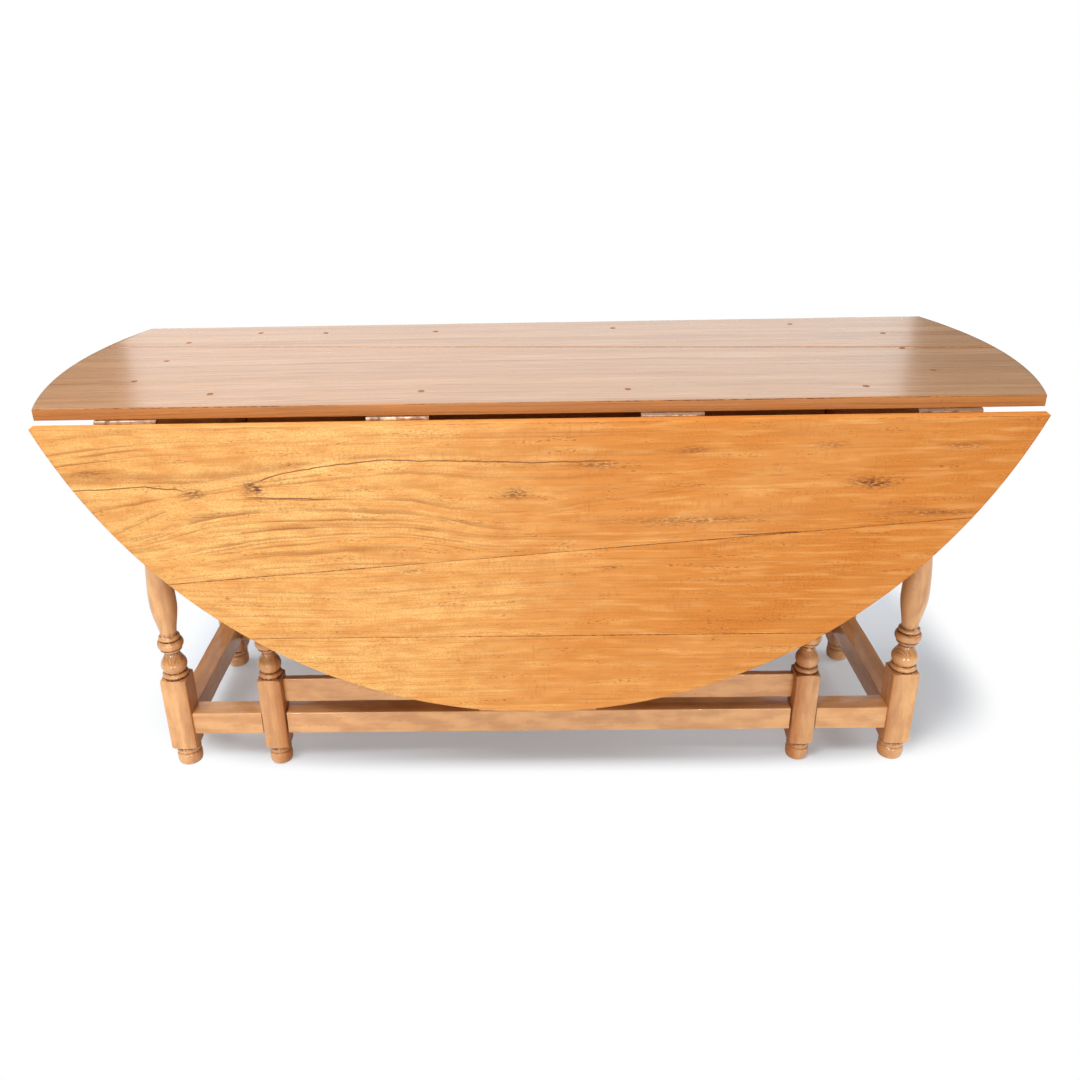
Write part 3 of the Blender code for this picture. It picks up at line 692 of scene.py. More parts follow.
def disc_skin(width, proud, sunk, slot=0.0):
    """A round head about its own axis: a square grid drawn into a disc and domed.

    u, v go to u sqrt(1 - v^2 / 2), v sqrt(1 - u^2 / 2); the dome falls with the square of the
    distance, and the three middle rows sink where the head has a slot along X.
    """
    rows = (-1, -0.8, -0.6, -0.4, -0.2, -0.13, 0, 0.13, 0.2, 0.4, 0.6, 0.8, 1)
    u, v = np.meshgrid(np.linspace(-1, 1, 13), rows)
    x, y = u * np.sqrt(1 - v**2 / 2), v * np.sqrt(1 - u**2 / 2)
    z = proud * (1 - (x**2 + y**2)) - slot * (np.abs(v) < 0.16)
    top = np.stack([x * width / 2, y * width / 2, z], -1).reshape(-1, 3)
    index = np.arange(u.size).reshape(u.shape)
    rim = border(index)
    foot = top[rim] * (0.9, 0.9, 0) - (0, 0, sunk)
    low = u.size + np.arange(len(rim))
    band = wrapped(np.stack([low, rim]))
    faces = quads(index).tolist() + quads(band).tolist() + [low[::-1].tolist()]
    return np.concatenate([top, foot]), faces


def flap_skin(reach, kept):
    """A hinge flap as one closed skin: a strip rolled into a barrel, carried along the pin.

    The section goes round the plate and the barrel. Where a knuckle belongs to the other flap, the
    same points lie on the end of the plate instead.
    """
    low = KNUCKLE - PLATE
    turn = np.linspace(math.pi / 2, 2 * math.pi + math.asin(low / KNUCKLE), 25)
    barrel = np.stack([KNUCKLE * np.cos(turn), KNUCKLE * np.sin(turn)], 1)
    clear = KNUCKLE + KNUCKLE_RELIEF
    stub = np.stack([np.full(25, clear), np.linspace(KNUCKLE, low, 25)], 1)
    plate = np.array([
        (PLATE_WIDTH - IRON_EASE, low),
        (PLATE_WIDTH, low + IRON_EASE),
        (PLATE_WIDTH, KNUCKLE - IRON_EASE),
        (PLATE_WIDTH - IRON_EASE, KNUCKLE),
    ])
    full, short = np.concatenate([plate, barrel]), np.concatenate([plate, stub])
    step = 2 * reach / KNUCKLES
    rows = []
    for knuckle in range(KNUCKLES):
        own = knuckle % 2 == kept
        gap = KNUCKLE_GAP / 2 if own else -KNUCKLE_GAP / 2
        start = -reach + knuckle * step + (gap if knuckle else 0)
        stop = -reach + (knuckle + 1) * step - (gap if knuckle < KNUCKLES - 1 else 0)
        rows += [(start, full if own else short), (stop, full if own else short)]
    return tube(np.stack([np.column_stack([np.full(len(loop), x), loop]) for x, loop in rows]))


def add(tree, kind, inputs=None, **settings):
    """Adds a node with its settings and gives its outputs.

    Each input takes a number, a colour or an output of another node.
    """
    node = tree.nodes.new("ShaderNode" + kind)
    for key, value in settings.items():
        setattr(node, key, value)
    for key, value in (inputs or {}).items():
        if isinstance(value, bpy.types.NodeSocket):
            tree.links.new(value, node.inputs[key])
        else:
            node.inputs[key].default_value = value
    return node.outputs


def new_material(name):
    """An empty node material and what adds its nodes."""
    material = bpy.data.materials.new(name)
    material.use_nodes = True
    material.node_tree.nodes.clear()
    return material, functools.partial(add, material.node_tree)


def waxed_wood(name, pale, deep, red, line, knot, look):
    """Planed and waxed softwood, read along its own grain.

    Each year's ring darkens slowly and stops short, which gives soft bands with thin dark lines
    that follow the figure. The plane and the years add streaks, ticks and specks along the grain,
    warm and golden patches and faint saw marks across it, and the wax a broad sheen over them.
    """
    material, put = new_material(name)
    grain = put("Attribute", attribute_name="grain")["Vector"]
    tone = put("SeparateXYZ", {0: put("Attribute", attribute_name="tone")["Vector"]})
    axes = put("SeparateXYZ", {0: grain})
    plain = put("CombineXYZ", {0: axes[0], 1: axes[2]})[0]

    def stretched(along_mm, across_mm, detail, place):
        """Noise of a length along the grain and a width across it, in millimetres."""
        scale = (1000 / along_mm, 1000 / across_mm, 1000 / across_mm)
        spread = put("VectorMath", {0: place, 1: scale}, operation="MULTIPLY")[0]
        return put("TexNoise", {"Vector": spread, "Scale": 1.0, "Detail": detail})[0]

    def marks(along_mm, across_mm, low, high, detail=2.0, place=plain):
        """Soft marks of a length and a width in millimetres: noise cut between two levels."""
        noise = stretched(along_mm, across_mm, detail, place)
        levels = {"Value": noise, "From Min": low, "From Max": high}
        return put("MapRange", levels, interpolation_type="SMOOTHSTEP")[0]

    def wavered(ring, along_mm, across_mm, size_mm):
        """The ring coordinate pushed to and fro by slow noise along the grain."""
        noise = stretched(along_mm, across_mm, 2.0, grain)
        return put("Math", {0: noise, 1: size_mm * MM, 2: ring}, operation="MULTIPLY_ADD")[0]

    def laid(under, over, share, masks):
        """A colour laid over another by its share, where all its masks meet."""
        for mask in masks:
            share = put("Math", {0: mask, 1: share}, operation="MULTIPLY", use_clamp=True)[0]
        return put("Mix", {0: share, 6: under, 7: over}, data_type="RGBA")[2]

    # Rings: the ring coordinate wanders and ripples, and its whole turns are the years
    ring = wavered(wavered(axes[1], 420, 120, look["wander"]), 110, 30, look["ripple"])
    slow = {"W": ring, "Scale": 1000 / look["broad"], "Detail": 2.0}
    broad = put("TexNoise", slow, noise_dimensions="1D")[0]
    years = put("Math", {0: ring, 1: 1000 / look["ring"]}, operation="MULTIPLY")[0]
    years = put("Math", {0: broad, 1: 3.0, 2: years}, operation="MULTIPLY_ADD")[0]

    def year_end(turns, start):
        """How far each ring, or part of a ring, has darkened towards its end."""
        part = put("Math", {0: years, 1: turns}, operation="MULTIPLY")[0]
        part = put("Math", {0: part}, operation="FRACT")[0]
        levels = {"Value": part, "From Min": start, "From Max": 0.96}
        return put("MapRange", levels, interpolation_type="SMOOTHSTEP")[0]

    # Fibres and ticks are drawn coarser than real ones, which are too fine to show
    band_levels = {"Value": broad, "From Min": 0.32, "From Max": 0.68}
    band = put("MapRange", band_levels, interpolation_type="SMOOTHSTEP")[0]
    fading = marks(200, 16, 0.32, 0.62, 3.0, grain)
    fibre = marks(look["fibre"], 2.6, 0.30, 0.70, 4.0, grain)
    tick, crowd = marks(8, 2.3, 0.54, 0.64), marks(110, 14, 0.53, 0.68, 3.0)
    ragged = marks(9, 3.0, 0.34, 0.60)
    bold = put("Math", {0: tone[2], 1: 0.14}, operation="ADD")[0]

    # Specks: the middles of some cells, with ragged rims
    cells = (1000 / 95, 1000 / 55, 1)
    spread = put("VectorMath", {0: plain, 1: cells}, operation="MULTIPLY")[0]
    cell = put("TexVoronoi", {"Vector": spread, "Scale": 1.0})
    rim = put("Math", {0: ragged, 1: 0.05, 2: cell["Distance"]}, operation="MULTIPLY_ADD")[0]
    speck = put("MapRange", {"Value": rim, "From Min": 0.085, "From Max": 0.03})[0]
    lot = put("SeparateColor", {0: cell["Color"]})[0]
    drawn = put("Math", {0: lot, 1: look["specks"]}, operation="GREATER_THAN")[0]

    body = pale
    layers = (
        (deep, look["band_share"], band),
        (red, look["mottle_share"], marks(look["mottle"], 18, 0.36, 0.66, 5.0)),
        # On the legs the warm tone also lays painted shade on the inner sides and on the gate legs
        (red, look["warm_share"], tone[0]),
        (pale, look["gleam_share"], marks(100, 13, 0.48, 0.70, 4.0, grain)),
        (deep, look["fibre_share"], fibre),
        (deep, look["grit_share"], marks(3.6, 3.0, 0.34, 0.70, 3.0)),
        (line, look["fine_share"], year_end(2.7, 0.30), fading),
        (line, look["line_share"], year_end(1.0, 0.45), fading, bold),
        (line, look["streak_share"], marks(look["streak"], 3.6, 0.54, 0.72, 2.0, grain)),
        (line, look["saw_share"], marks(4.5, 22, 0.45, 0.72, 3.0), marks(90, 30, 0.48, 0.62, 3.0)),
        (line, look["tick_share"], tick, crowd),
        (knot, look["speck_share"], speck, drawn),
        # The stain lays the knot colour: real stains, cracks and plugs, and on the legs also painted shade in the
        # hollows
        (knot, 1.0, tone[1], ragged),
    )
    for over, share, *masks in layers:
        body = laid(body, over, share, masks)
    hollow = put("Math", {0: tick, 1: crowd}, operation="MULTIPLY")[0]
    if look["cracks"]:
        # A crack is a dark slit along its line, pushed to and fro by up to 3 mm
        crack = put("SeparateXYZ", {0: put("Attribute", attribute_name="crack")["Vector"]})
        ruffle = stretched(1000 / 33, 1000 / 33, 3.0, plain)
        off = put("Math", {0: ruffle, 1: 6 * MM, 2: crack[0]}, operation="MULTIPLY_ADD")[0]
        off = put("Math", {0: off, 1: 3 * MM}, operation="SUBTRACT")[0]
        span = put("Math", {0: off}, operation="ABSOLUTE")[0]
        levels = {"Value": span, "From Min": 1.5 * MM, "From Max": 0.5 * MM}
        slit = put("MapRange", levels, interpolation_type="SMOOTHSTEP")[0]
        slit = put("Math", {0: slit, 1: crack[1]}, operation="MULTIPLY")[0]
        body = laid(body, knot, 0.85, [slit])
        hollow = put("Math", {0: hollow, 1: slit}, operation="MAXIMUM")[0]

    dull = {"Value": fibre, "To Min": look["rough"] - 0.05, "To Max": look["rough"] + 0.07}
    rough = put("MapRange", dull)[0]
    # Warm edges and inner faces are duller, because no cloth has rubbed their wax to a shine
    bare = put("MapRange", {"Value": tone[0], "From Min": 0.5})[0]
    rough = put("Math", {0: bare, 1: 0.25, 2: rough}, operation="MULTIPLY_ADD")[0]
    coat = look["coat"]
    wax = put("Math", {0: bare, 1: -coat, 2: coat}, operation="MULTIPLY_ADD")[0]
    relief = put("Math", {0: hollow, 1: -1.0, 2: fibre}, operation="MULTIPLY_ADD")[0]
    bump = put("Bump", {"Height": relief, "Strength": look["bump"], "Distance": 0.4 * MM})[0]
    shader = {
        "Base Color": body,
        "Roughness": rough,
        "Normal": bump,
        "Specular IOR Level": look["sheen"],
        "Coat Weight": wax,
        "Coat Roughness": look["coat_rough"],
    }
    put("OutputMaterial", {"Surface": put("BsdfPrincipled", shader)[0]})
    return material


def tarnished_iron(name, tints):
    """Forged and filed iron strip, long since tarnished.

    That gives brown patches here and there and a dull shine on the iron between them.
    """
    material, put = new_material(name)
    place = put("TexCoord")["Object"]
    patch = put("TexNoise", {"Vector": place, "Scale": 1000 / 14, "Detail": 4.0})[0]
    share = put("MapRange", {"Value": patch, "From Min": 0.46, "From Max": 0.66})[0]
    pits = put("TexNoise", {"Vector": place, "Scale": 1000 / 2.2, "Detail": 3.0})[0]
    shader = {
        "Base Color": put("Mix", {0: share, 6: tints.iron, 7: tints.rust}, data_type="RGBA")[2],
        "Metallic": put("MapRange", {"Value": share, "To Min": 0.70, "To Max": 0.30})[0],
        "Roughness": put("MapRange", {"Value": share, "To Min": 0.34, "To Max": 0.66})[0],
        "Normal": put("Bump", {"Height": pits, "Strength": 0.4, "Distance": 0.3 * MM})[0],
    }
    put("OutputMaterial", {"Surface": put("BsdfPrincipled", shader)[0]})
    return material


# Finish and slot of each kind of piece
FINISHES = {
    "honey": "waxed_honey_pine",
    "top": "worn_waxed_pine_top",
    "frame": "turned_waxed_pine",
    "iron": "tarnished_strip_iron",
}

# Looks of the honey boards, the worn top and the frame: widths in millimetres, the share of cells
# without a speck, how strongly each layer of the figure shows, and the surface with its wax
WOODS = ("honey", "top", "frame")
LOOKS = {
    "wander": (4.0, 6.0, 4.0),
    "ripple": (4.0, 2.0, 1.5),
    "ring": (11.5, 13.0, 9.0),
    "broad": (34.0, 40.0, 26.0),
    "fibre": (38, 140, 38),
    "streak": (150, 800, 160),
    "mottle": (46, 200, 60),
    "specks": (0.84, 1.0, 0.80),
    "band_share": (0.32, 0.60, 0.40),
    "mottle_share": (0.40, 0.20, 0.40),
    "warm_share": (0.84, 0.90, 0.64),
    "gleam_share": (0.32, 0.10, 0.20),
    "fibre_share": (0.34, 0.45, 0.24),
    "grit_share": (0.62, 0.10, 0.24),
    "fine_share": (0.16, 0.16, 0.0),
    "line_share": (0.72, 0.50, 0.10),
    "streak_share": (0.20, 0.60, 0.12),
    "saw_share": (0.20, 0.02, 0.0),
    "tick_share": (0.75, 0.40, 0.25),
    "speck_share": (0.55, 0.0, 0.55),
    "cracks": (True, False, False),
    "rough": (0.42, 0.24, 0.34),
    "sheen": (0.25, 0.25, 0.4),
    "bump": (0.25, 0.03, 0.10),
    "coat": (0.03, 0.70, 0.75),
    "coat_rough": (0.30, 0.15, 0.11),
}


def finish(kind):
    """The finish of one kind of wood, or of the iron, made once."""
    name = FINISHES[kind]
    if name in bpy.data.materials:
        return bpy.data.materials[name]
    tints = bpy.context.scene.gateleg_colours
    if kind == "iron":
        return tarnished_iron(name, tints)
    look = {key: values[WOODS.index(kind)] for key, values in LOOKS.items()}
    shades = [getattr(tints, f"{kind}_{shade}") for shade in ("pale", "deep", "red")]
    line = tints.top_line if kind == "top" else tints.late_line
    return waxed_wood(name, *shades, line, tints.knot, look)


class GATELEG_OT_boards(bpy.types.Operator):
    """Lays the two boards of the middle and the three boards of each leaf"""

    bl_idname = "gateleg.boards"
    bl_label = "Boards"

    LAST_ROW = math.radians(89.6)

    def execute(self, context):
        sizes = context.scene.gateleg_sizes
        rim, seam = sizes.rim_round, sizes.seam_round
        centre = (*CENTRE_SEAM, sizes.centre_round)
        rows = (
            ("centre_front_board", (-CENTRE_EDGE, 0.0, rim), centre, 31),
            ("centre_back_board", centre, (CENTRE_EDGE, 0.0, rim), 37),
        )
        for node, near, far, seed in rows:
            points, faces, shares = self.skin(near, far, sizes, seed, False)
            figure = board_figure(*points.T, shares, TOP_BOARD, seed)
            add_piece(node, points + (0, 0, UNDERSIDE), faces, "top", **figure)
        inner, outer = (*LEAF_INNER_SEAM, seam), (*LEAF_OUTER_SEAM, seam)
        boards = (
            ("hinged", (LEAF_EDGE - EDGE_REACH, 0.0, sizes.hinge_round), inner, 3),
            ("middle", inner, outer, 5),
            ("outer", outer, (RADIUS * math.sin(self.LAST_ROW), 0.0, rim), 8),
        )
        leaves = (("front", FRONT_LEAF, 0), ("back", BACK_LEAF, 20))
        for (side, hinged, shift), (board, near, far, seed) in itertools.product(leaves, boards):
            seed += shift
            points, faces, shares = self.skin(near, far, sizes, seed, board == "outer")
            x, y, height = points.T
            lines = hinged if board == "hinged" else QUIET_BOARD
            figure = board_figure(-x, y - HINGE_LINE, height, shares, lines, seed)
            placed = hung(points, side == "front")
            add_piece(f"{side}_leaf_{board}_board", placed, faces, "honey", **figure)
        return {"FINISHED"}

    def skin(self, near, far, sizes, seed, tapers):
        """The skin of a board; where it runs out to the rim, its rows follow the rim's angle."""
        count = max(12, round(abs(far[0] - near[0]) / sizes.grid))
        spacing = np.linspace(0, 1, count)
        if tapers:
            turn = np.linspace(math.asin(near[0] / RADIUS), self.LAST_ROW, count + 20)
            spacing = (np.sin(turn) - np.sin(turn[0])) / (np.sin(turn[-1]) - np.sin(turn[0]))
        reach = chord_ends(near[0], near[1], RADIUS)
        columns = round((reach[1] - reach[0]) / sizes.grid)
        return board_skin(near, far, spacing, columns, sizes, seed)


class GATELEG_OT_legs(bpy.types.Operator):
    """Turns the four corner legs and the four gate legs"""

    bl_idname = "gateleg.legs"
    bl_label = "Turned legs"

    HEART = (45.0 * MM, 30.0 * MM)
    # A gate leg's extra warmth is painted shade, from the leaf that hangs in front of it
    CORNER_WARM = 0.05
    GATE_WARM = 0.55
    SHARP = 38.0

    def execute(self, context):
        arris = context.scene.gateleg_sizes.arris
        for (side, end), seed in zip(itertools.product(SIDES, ENDS), itertools.count(41, 13)):
            self.leg(f"{side}_{end}_corner_leg", arris, seed, False)
            self.leg(f"{side}_{end}_gate_leg", arris, seed + 7, True)
        return {"FINISHED"}

    def leg(self, node, arris, seed, halved):
        """One leg, with painted shade on the side that faces the middle of the table: a warmer, darker tone where
        the top keeps the light off.

        A gate leg is halved towards the frame, at the stretcher and at the apron.
        """
        low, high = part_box(node)
        half, middle = (high.x - low.x) / 2, (low.x + high.x) / 2
        front = node.startswith("front")
        notches = ()
        if halved:
            notches = (
                (STRETCHER[0] - NOTCH_PLAY, STRETCHER[1] + NOTCH_PLAY),
                (APRON[0] - NOTCH_PLAY, high.z),
            )
        profile = leg_profile(half, low.z, high.z)
        points, faces = stick_skin(profile, half, arris, notches, HALVING)
        place = (middle, low.y + half if front else high.y - half, 0.0)
        placed = moved(points, 0.0 if front else math.pi, place)
        # Painted shade: the side that faces the middle of the table, under the top, and all of a gate leg get a
        # warmer, darker tone
        inward = (placed[:, 0] - middle) / half * (1 if low.x < 0 else -1)
        warm = (self.GATE_WARM if halved else self.CORNER_WARM) + np.clip(inward, 0, 1)
        add_piece(
            node, placed, faces, "frame", self.SHARP,
            grain=pith_grain(points, 2, self.HEART, seed),
            tone=plain_tone(points, warm, hollow_shade_and_dirt(points)),
        )


class GATELEG_OT_rails(bpy.types.Operator):
    """Planes the stretchers, aprons, gate rails and gate posts"""

    bl_idname = "gateleg.rails"
    bl_label = "Rails and posts"

    RAIL_HEART = (60.0 * MM, -20.0 * MM)
    POST_HEART = (40.0 * MM, 25.0 * MM)
    END_WARM = 0.7
    # The gate rails' extra warmth is partly their own tone and partly painted shade under the hanging leaf
    GATE_WARM = 0.45
    LONG_WARM = 0.25
    POST_WARM = 0.4

    def execute(self, context):
        arris = context.scene.gateleg_sizes.arris
        seeds = itertools.count(71, 3)
        for level in ("stretcher", "apron"):
            for side in SIDES:
                self.rail(f"{side}_{level}", arris, next(seeds), self.LONG_WARM, self.halvings())
            for end in ENDS:
                self.rail(f"{end}_end_{level}", arris, next(seeds), self.END_WARM)
        for side, end in itertools.product(SIDES, ENDS):
            gate = f"{side}_{end}_gate"
            for level in ("lower", "upper"):
                self.rail(f"{gate}_{level}_rail", arris, next(seeds), self.GATE_WARM)
            self.post(f"{gate}_post", arris, next(seeds))
        return {"FINISHED"}

    def rail(self, node, arris, seed, warm, notches=()):
        """A rail between two legs, along X, or along Y at the ends of the table."""
        low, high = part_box(node)
        side = [(high[i] - low[i]) / 2 for i in range(3)]
        middle = [(high[i] + low[i]) / 2 for i in range(3)]
        reach, deep, turn = side[0], side[1], math.pi if node.startswith("back") else 0.0
        if "_end_" in node:
            reach, deep, turn = side[1], side[0], math.pi / 2
        tenon_deep = GATE_TENON if "gate" in node else TENON[1]
        stations = rail_stations(reach - TENON[0], deep, side[2], tenon_deep, notches)
        points, faces = rail_skin(stations, arris, seed)
        add_piece(
            node, moved(points, turn, middle), faces, "frame",
            grain=pith_grain(points, 0, self.RAIL_HEART, seed),
            tone=plain_tone(points, warm),
        )

    def halvings(self):
        """Where the two gate legs of a side shut into a stretcher or apron."""
        low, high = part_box("front_right_gate_leg")
        middle, reach = (low.x + high.x) / 2, (high.x - low.x) / 2 + NOTCH_SIDE
        return [(way * middle - reach, way * middle + reach) for way in (-1, 1)]

    def post(self, node, arris, seed):
        """A square gate post with a turned pivot at each end."""
        low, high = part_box(node)
        half = (high.x - low.x) / 2
        foot, head = low.z + PIVOT_LENGTH, high.z - PIVOT_LENGTH
        profile = np.array([
            (low.z, PIVOT - PIVOT_EASE), (low.z + PIVOT_EASE, PIVOT), (foot, PIVOT),
            *((z, 2 * half) for z in np.linspace(foot, head, 12)),
            (head, PIVOT), (high.z - PIVOT_EASE, PIVOT), (high.z, PIVOT - PIVOT_EASE),
        ])
        points, faces = stick_skin(profile, half, arris)
        placed = moved(points, 0.0, ((low.x + high.x) / 2, (low.y + high.y) / 2, 0.0))
        add_piece(
            node, placed, faces, "frame",
            grain=pith_grain(points, 2, self.POST_HEART, seed),
            tone=plain_tone(points, self.POST_WARM),
        )


class GATELEG_OT_hinges(bpy.types.Operator):
    """Rolls the hinge flaps, fits their pins and drives their screws"""

    bl_idname = "gateleg.hinges"
    bl_label = "Hinges"

    # Places of the screws, as shares of half the flap's length and of its width
    SCREWS = ((-0.8, 0.45), (-0.28, 0.78), (0.28, 0.45), (0.8, 0.78))
    PROUD = 0.35 * MM
    SUNK = 1.2 * MM
    SLOT = 0.5 * MM

    def execute(self, context):
        width = context.scene.gateleg_sizes.screw
        pins = [node for node in frame["nodes"] if "_hinge_" in node and node.endswith("_pin")]
        for side in SIDES:
            for number in range(1, len(pins) // len(SIDES) + 1):
                self.hinge(f"{side}_hinge_{number}", side == "front", width)
        return {"FINISHED"}

    def hinge(self, name, front, width):
        """One hinge: the flap under the top, the flap under the leaf and the pin."""
        low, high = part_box(f"{name}_pin")
        reach, middle = (high.x - low.x) / 2, (low.x + high.x) / 2
        way = -1 if front else 1
        line = (middle, way * HINGE_LINE, HINGE_HEIGHT)
        screws = self.screws(reach, width)
        fixed, faces = gathered([flap_skin(reach, 0), *screws])
        fixed = moved(fixed, 0.0 if front else math.pi, line)
        add_piece(f"{name}_top_flap", fixed, faces, "iron")
        leaf, faces = gathered([flap_skin(reach, 1), *screws])
        leaf = moved(leaf, 0.0, (way * middle, HINGE_LINE, HINGE_HEIGHT - UNDERSIDE))
        add_piece(f"{name}_leaf_flap", hung(leaf, front), faces, "iron")
        thin = PIN - IRON_EASE
        ends = ((-reach, thin), (IRON_EASE - reach, PIN), (reach - IRON_EASE, PIN), (reach, thin))
        x, radius = np.array(ends).T[:, :, None]
        turn = np.linspace(0, 2 * math.pi, 25)[:-1]
        rings = np.broadcast_arrays(x, radius * np.cos(turn), radius * np.sin(turn))
        pin, faces = tube(np.stack(rings, -1))
        add_piece(f"{name}_pin", moved(pin, 0.0, line), faces, "iron")

    def screws(self, reach, width):
        """Four slotted countersunk heads under the plate, in two staggered rows."""
        points, faces = disc_skin(width, self.PROUD, self.SUNK, self.SLOT)
        points = points * (1, -1, -1) + (0, 0, KNUCKLE - PLATE)
        return [(points + (x * reach, y * PLATE_WIDTH, 0), faces) for x, y in self.SCREWS]


class GATELEG_OT_plugs(bpy.types.Operator):
    """Sets the round plugs over the screws that hold the top to the frame"""

    bl_idname = "gateleg.plugs"
    bl_label = "Plugs"

    PLACES = (
        (-0.682, 0.148), (-0.680, 0.010), (-0.692, -0.124), (-0.536, -0.206), (-0.556, 0.221),
        (-0.421, 0.212), (-0.197, 0.210), (-0.186, -0.207), (0.163, 0.215), (0.153, -0.213),
        (0.523, 0.225), (0.539, -0.216), (0.682, 0.137), (0.679, 0.021), (0.680, -0.128),
    )
    PROUD = 0.12 * MM
    SUNK = 1.5 * MM
    LIFT = 0.05 * MM
    TONE = (1.0, 1.6, 0.5)

    def execute(self, context):
        plug, plug_faces = disc_skin(context.scene.gateleg_sizes.plug, self.PROUD, self.SUNK)
        height = UNDERSIDE + BOARD + self.LIFT
        for side in SIDES:
            points, faces = gathered([
                (plug + (x, y, height), plug_faces) for x, y in self.PLACES
                if (y > CENTRE_SEAM[0] + CENTRE_SEAM[1] * x) == (side == "back")
            ])
            add_piece(
                f"centre_{side}_board", points, faces, "top", name=f"{side}_top_plugs",
                grain=points[:, [2, 0, 1]], tone=np.tile(self.TONE, (len(points), 1)),
            )
        return {"FINISHED"}


class GATELEG_OT_studio(bpy.types.Operator):
    """Sets up the floor, the backdrop, the lights and the camera"""

    bl_idname = "gateleg.studio"
    bl_label = "Studio"

    WHITE = (1.0, 1.0, 1.0, 1.0)
    ROOM_LIGHT = 0.14
    FLOOR_REACH = 40.0
    BACKDROP = (-1.79, 1.66, 2.5, 3.2)
    SHADOW_MIDDLE = (0.06, 0.25, 0.0)
    SHADOW_REACH = (0.92, 0.475, 1.0)
    SHADOW_FADE = (0.80, 1.06)
    SHADOW_WHITE = 0.20
    SENSOR = 36.0
    FOCAL = 988.3824
    FRAME_PIXELS = 1080
    CENTRE_PIXEL = (512.9135, 515.7767)
    CAMERA_PLACE = (-0.0081, -1.77521, 1.22931)
    CAMERA_TURN = (23.9297, -1.13899, -1.18789)
    CLIP_END = 200.0
    # Name, place, what it looks at, side in metres and power in watts
    LAMPS = (
        ("key", (-1.0, -2.0, 3.8), (0.0, -0.15, 0.3), 1.2, 90.0),
        ("overhead", (-1.2, 0.2, 3.4), (0.0, 0.0, 0.3), 2.2, 76.0),
        ("front_left", (-1.2, -4.3, 0.4), (-0.4, -0.2, 0.3), 0.7, 51.0),
        ("front_right", (1.2, -4.3, 0.4), (0.4, -0.2, 0.3), 0.7, 44.0),
        ("left_side", (-2.8, 0.2, 2.3), (-0.5, 0.0, 0.2), 1.2, 12.0),
        ("right_side", (2.8, 0.2, 2.3), (0.5, 0.0, 0.2), 1.2, 27.0),
    )

    def execute(self, context):
        scene = context.scene
        scene.view_settings.view_transform = "Standard"
        self.floor(scene)
        self.backdrop(scene)
        self.world(scene)
        for lamp in self.LAMPS:
            self.lamp(scene, *lamp)
        self.camera(scene)
        return {"FINISHED"}

    def seen(self, put, *rays):
        """1 for the named kinds of ray and 0 for the light that falls on the table."""
        path = put("LightPath")
        share, *others = [path[f"Is {ray} Ray"] for ray in rays]
        for other in others:
            share = put("Math", {0: share, 1: other}, operation="MAXIMUM")[0]
        return share

    def paper(self, put, tint, part=None):
        """Matt white, which the eye, mirrors and glass see as plain white, all of it or in part."""
        share = self.seen(put, "Camera", "Glossy", "Transmission")
        if part is not None:
            share = put("Math", {0: part, 1: share}, operation="MULTIPLY")[0]
        matt = put("BsdfDiffuse", {"Color": tint})[0]
        white = put("Emission", {"Color": self.WHITE, "Strength": 1.0})[0]
        put("OutputMaterial", {"Surface": put("MixShader", {0: share, 1: matt, 2: white})[0]})

    def sheet(self, scene, name, corners, material):
        """A flat stage panel of one face."""
        mesh = bpy.data.meshes.new(name)
        mesh.from_pydata(corners, [], [(0, 1, 2, 3)])
        mesh.materials.append(material)
        item = bpy.data.objects.new(name, mesh)
        scene.collection.objects.link(item)

    def floor(self, scene):
        """Matt white floor that keeps the shadow near the table and is plain white further off."""
        material, put = new_material("matt_white_floor")
        place = put("TexCoord")["Object"]
        place = put("VectorMath", {0: place, 1: self.SHADOW_MIDDLE}, operation="SUBTRACT")[0]
        place = put("VectorMath", {0: place, 1: self.SHADOW_REACH}, operation="DIVIDE")[0]
        squared = put("VectorMath", {0: place, 1: place}, operation="MULTIPLY")[0]
        away = put("VectorMath", {0: squared}, operation="LENGTH")["Value"]
        near, far = self.SHADOW_FADE
        levels = {"Value": away, "From Min": near, "From Max": far, "To Min": self.SHADOW_WHITE}
        part = put("MapRange", levels, interpolation_type="SMOOTHSTEP")[0]
        self.paper(put, scene.gateleg_colours.floor, part)
        r = self.FLOOR_REACH
        self.sheet(scene, "floor", [(-r, -r, 0), (r, -r, 0), (r, r, 0), (-r, r, 0)], material)

    def backdrop(self, scene):
        """White paper behind the table, as wide as the pale band that the top mirrors."""
        material, put = new_material("white_paper_backdrop")
        self.paper(put, scene.gateleg_colours.floor)
        left, right, y, high = self.BACKDROP
        corners = [(left, y, 0), (right, y, 0), (right, y, high), (left, y, high)]
        self.sheet(scene, "backdrop", corners, material)

    def world(self, scene):
        """Soft even room light, white where the camera sees past the floor."""
        world = bpy.data.worlds.new("studio_room")
        world.use_nodes = True
        world.node_tree.nodes.clear()
        put = functools.partial(add, world.node_tree)
        share = self.seen(put, "Camera", "Transmission")
        room = put("Background", {"Color": self.WHITE, "Strength": self.ROOM_LIGHT})[0]
        white = put("Background", {"Color": self.WHITE, "Strength": 1.0})[0]
        put("OutputWorld", {"Surface": put("MixShader", {0: share, 1: room, 2: white})[0]})
        scene.world = world

    def stand(self, scene, name, data, place, axes):
        """Puts a lamp or the camera at a place; axes are its right, its up and where it looks."""
        right, up, ahead = axes
        rows = np.column_stack([right, up, np.negative(ahead), place])
        item = bpy.data.objects.new(name, data)
        item.matrix_world = Matrix([*rows.tolist(), (0, 0, 0, 1)])
        scene.collection.objects.link(item)
        return item

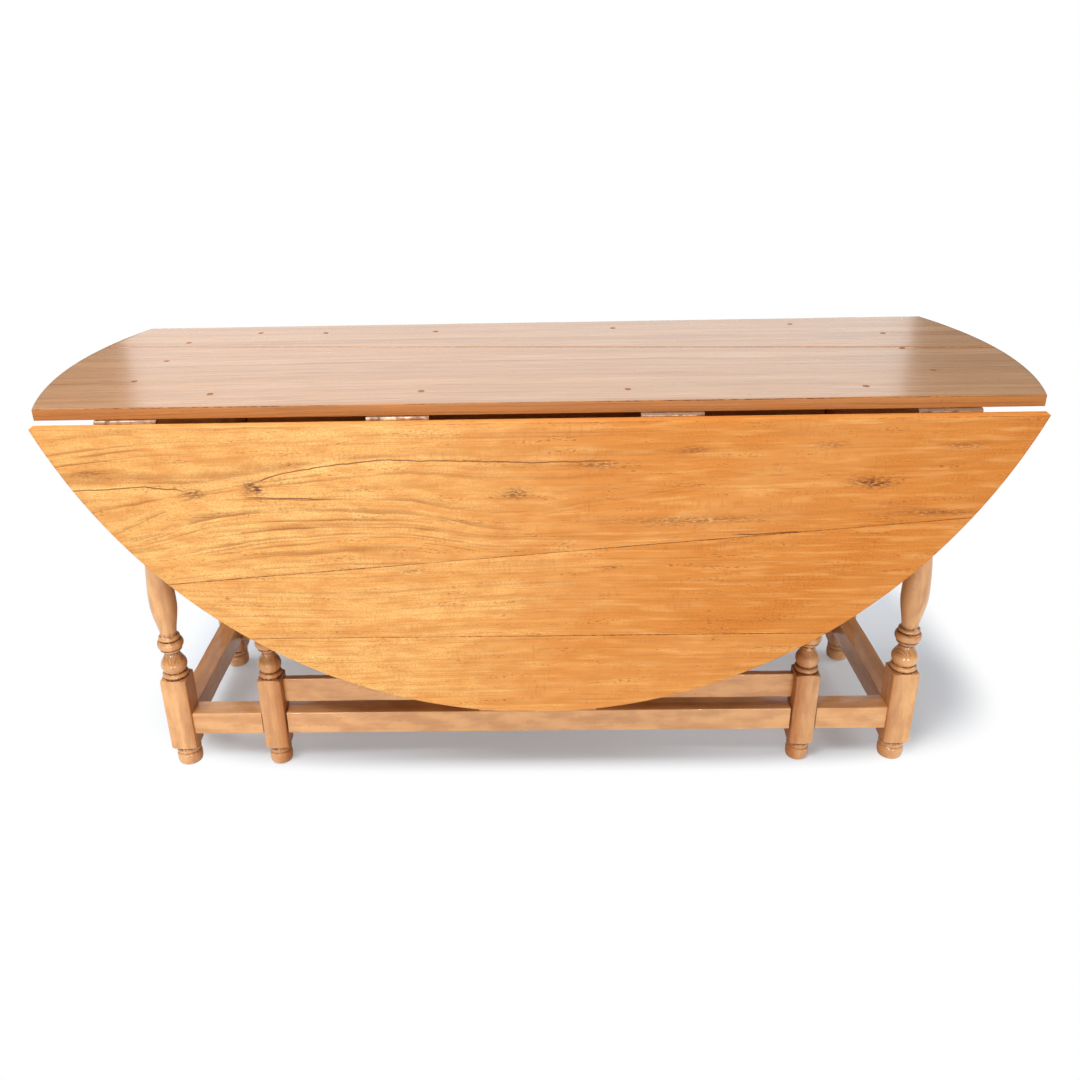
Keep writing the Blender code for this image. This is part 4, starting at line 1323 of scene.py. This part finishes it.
    def lamp(self, scene, name, place, target, side, power):
        """A square soft lamp, level with the ground, that faces its target."""
        lamp = bpy.data.lights.new(name, "AREA")
        lamp.shape, lamp.size, lamp.energy = "SQUARE", side, power
        ahead = np.subtract(target, place)
        ahead = ahead / np.linalg.norm(ahead)
        right = np.cross(ahead, (0, 0, 1))
        right /= np.linalg.norm(right)
        self.stand(scene, name, lamp, place, (right, np.cross(right, ahead), ahead))

    def camera(self, scene):
        """The photograph's camera: place, turn, focal length and shift of the frame."""
        lens = bpy.data.cameras.new("camera")
        lens.sensor_width = self.SENSOR
        lens.lens = lens.sensor_width * self.FOCAL / self.FRAME_PIXELS
        half = self.FRAME_PIXELS / 2
        lens.shift_x = (half - self.CENTRE_PIXEL[0]) / self.FRAME_PIXELS
        lens.shift_y = -(half - self.CENTRE_PIXEL[1]) / self.FRAME_PIXELS
        lens.clip_end = self.CLIP_END
        down, yaw, roll = (math.radians(turn) for turn in self.CAMERA_TURN)
        level = math.cos(down)
        ahead = np.array([math.sin(yaw) * level, math.cos(yaw) * level, -math.sin(down)])
        right = np.array([math.cos(yaw), -math.sin(yaw), 0])
        up = np.cross(right, ahead)
        rolled = right * math.cos(roll) + up * math.sin(roll)
        raised = up * math.cos(roll) - right * math.sin(roll)
        axes = (rolled, raised, ahead)
        scene.camera = self.stand(scene, "camera", lens, self.CAMERA_PLACE, axes)


OPERATORS = (
    GATELEG_OT_boards,
    GATELEG_OT_legs,
    GATELEG_OT_rails,
    GATELEG_OT_hinges,
    GATELEG_OT_plugs,
    GATELEG_OT_studio,
)


class GATELEG_PT_table(bpy.types.Panel):
    """Lists the table's sizes, colours and makers"""

    bl_idname = "GATELEG_PT_table"
    bl_label = "Gateleg Table"
    bl_space_type = "VIEW_3D"
    bl_region_type = "UI"
    bl_category = "Table"

    def draw(self, context):
        for group in (context.scene.gateleg_sizes, context.scene.gateleg_colours):
            box = self.layout.box()
            for key in group.__annotations__:
                box.prop(group, key)
        for operator in OPERATORS:
            self.layout.operator(operator.bl_idname)


CLASSES = (GatelegSizes, GatelegColours, *OPERATORS, GATELEG_PT_table)


def register():
    """Registers the classes and hangs the sizes and colours on the scene."""
    for item in CLASSES:
        bpy.utils.register_class(item)
    bpy.types.Scene.gateleg_sizes = bpy.props.PointerProperty(type=GatelegSizes)
    bpy.types.Scene.gateleg_colours = bpy.props.PointerProperty(type=GatelegColours)


def unregister():
    """Takes the sizes and colours off the scene and the classes out again."""
    del bpy.types.Scene.gateleg_colours
    del bpy.types.Scene.gateleg_sizes
    for item in reversed(CLASSES):
        bpy.utils.unregister_class(item)


def main():
    """Registers the add-on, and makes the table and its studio."""
    register()
    bpy.ops.gateleg.boards()
    bpy.ops.gateleg.legs()
    bpy.ops.gateleg.rails()
    bpy.ops.gateleg.hinges()
    bpy.ops.gateleg.plugs()
    bpy.ops.gateleg.studio()


if __name__ == "__main__":
    main()
